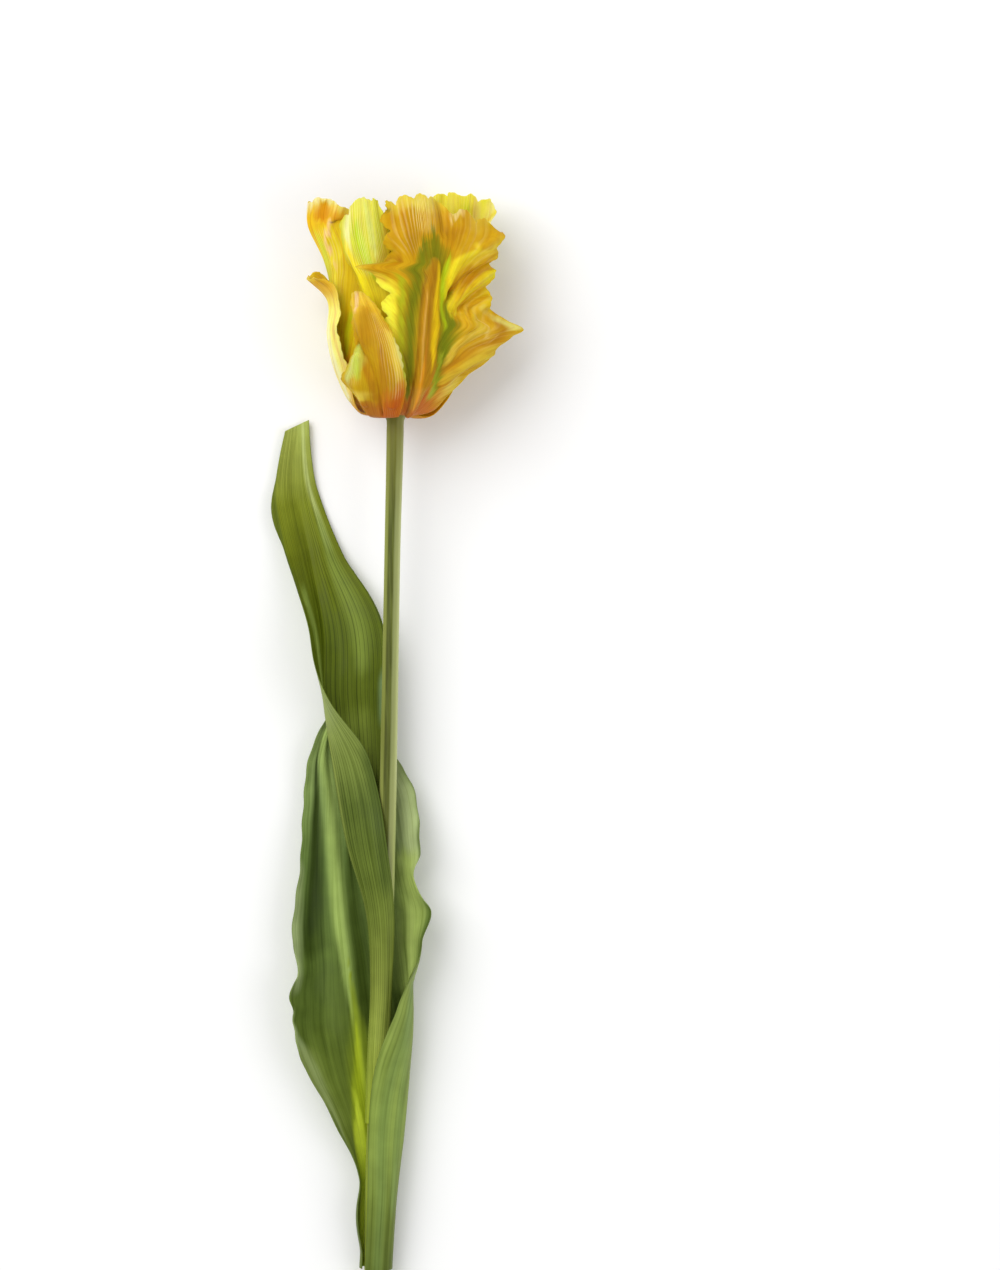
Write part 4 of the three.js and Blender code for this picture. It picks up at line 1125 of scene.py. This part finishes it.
ring = node(tree, "GeometryNodeMeshCircle", places, fill_type="NONE")
step = maths(tree, "DIVIDE", 2 * np.pi, given["Stamens"])
turn = maths(tree, "MULTIPLY", node(tree, "GeometryNodeInputIndex"), step)
stood = node(tree, "GeometryNodeInstanceOnPoints", {
    "Points": ring, "Instance": leaning, "Rotation": node(tree, "ShaderNodeCombineXYZ", {"Z": turn}),
})
close_tree(tree, stood, given)
stamen_tree = tree

stamen_skin, tree, shader = surface("filament_and_anther", 0.8, sheen=0.3, sheen_tint="8A6A3C")
place = node(tree, "ShaderNodeTexCoord").outputs["Object"]
grains = noise(tree, place, (2600, 2600, 2600), 3)
dusty = mixed(tree, grains, colour("2A1C14"), colour("5A4122"))
anther_share = ranged(tree, parts_of(tree, place)["Y"], neck + 0.0115, neck + 0.0135)
skinned(tree, shader, mixed(tree, anther_share, colour("C9B53C"), dusty), grains, 0.6, 0.0002)

# The ring grows round +Z at the origin, and is then stood on the receptacle.
stamens = grown("six_stamens", bpy.data.meshes.new("stamens"), stamen_tree, Material=stamen_skin)
points = np.empty(3 * len(stamens.data.vertices))
stamens.data.vertices.foreach_get("co", points)
x, y, z = 1e3 * points.reshape(-1, 3).T
standing = in_bloom(np.stack([y, z + RECEPTACLE_TOP, x], -1))
stamens.data.vertices.foreach_set("co", placed(standing).ravel())
stamens.data.update()
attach(stamens, "root")
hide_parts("stamens")

# ---------------------------------------------------------------- floor, light and camera
# A plain pale sheet under the flower, lit softly from above and from the upper left, and a camera that looks
# straight down on it.

FLOOR_REACH, FLOOR_DROP = 3, 0.0002  # metres, from its middle to its edges and below the flower
PIXELS_HIGH, MM_PER_PIXEL = 1270, 0.393
VIEW_HEIGHT = PIXELS_HIGH * MM_PER_PIXEL / 1e3  # metres that the view spans, from top to bottom
VIEW_MIDDLE = [41.3, -86.1, 0]
FOCUS_HEIGHT = 0.03  # where that span is measured, above the surface
LENS, SENSOR = 120, 36

floor_mesh = bpy.data.meshes.new("floor")
corners = [(x * FLOOR_REACH, y * FLOOR_REACH, -FLOOR_DROP) for x, y in ((-1, -1), (1, -1), (1, 1), (-1, 1))]
floor_mesh.from_pydata(corners, [], [(0, 1, 2, 3)])
paper, _, shader = surface("pale_floor", 0.9, specular=0.1)
shader.inputs["Base Color"].default_value = (0.9, 0.9, 0.9, 1)
floor_mesh.materials.append(paper)
floor = new_object("floor", floor_mesh)


def lamp(name, place, size, power):
    """A square soft light that looks at the flower."""
    light = bpy.data.lights.new(name, "AREA")
    light.shape = "SQUARE"
    light.size = size
    light.energy = power
    made = new_object(name, light)
    made.location = place
    made.rotation_mode = "QUATERNION"
    made.rotation_quaternion = (Vector((0, 0, 0.02)) - Vector(place)).to_track_quat("-Z", "Y")


lamp("key", (-0.8, 0.7, 1.4), 1.4, 21.5)
lamp("fill", (1.1, -0.3, 1.2), 1.0, 6)
world = bpy.data.worlds.new("studio")
bpy.context.scene.world = world
world.use_nodes = True
background = world.node_tree.nodes["Background"].inputs
background["Color"].default_value = (1, 1, 1, 1)
background["Strength"].default_value = 0.58
bpy.context.scene.view_settings.view_transform = "Standard"

camera = bpy.data.cameras.new("camera")
camera.sensor_width = SENSOR
camera.lens = LENS
view = new_object("camera", camera)
view.location = (*placed(VIEW_MIDDLE)[:2], FOCUS_HEIGHT + VIEW_HEIGHT * LENS / SENSOR)
bpy.context.scene.camera = view
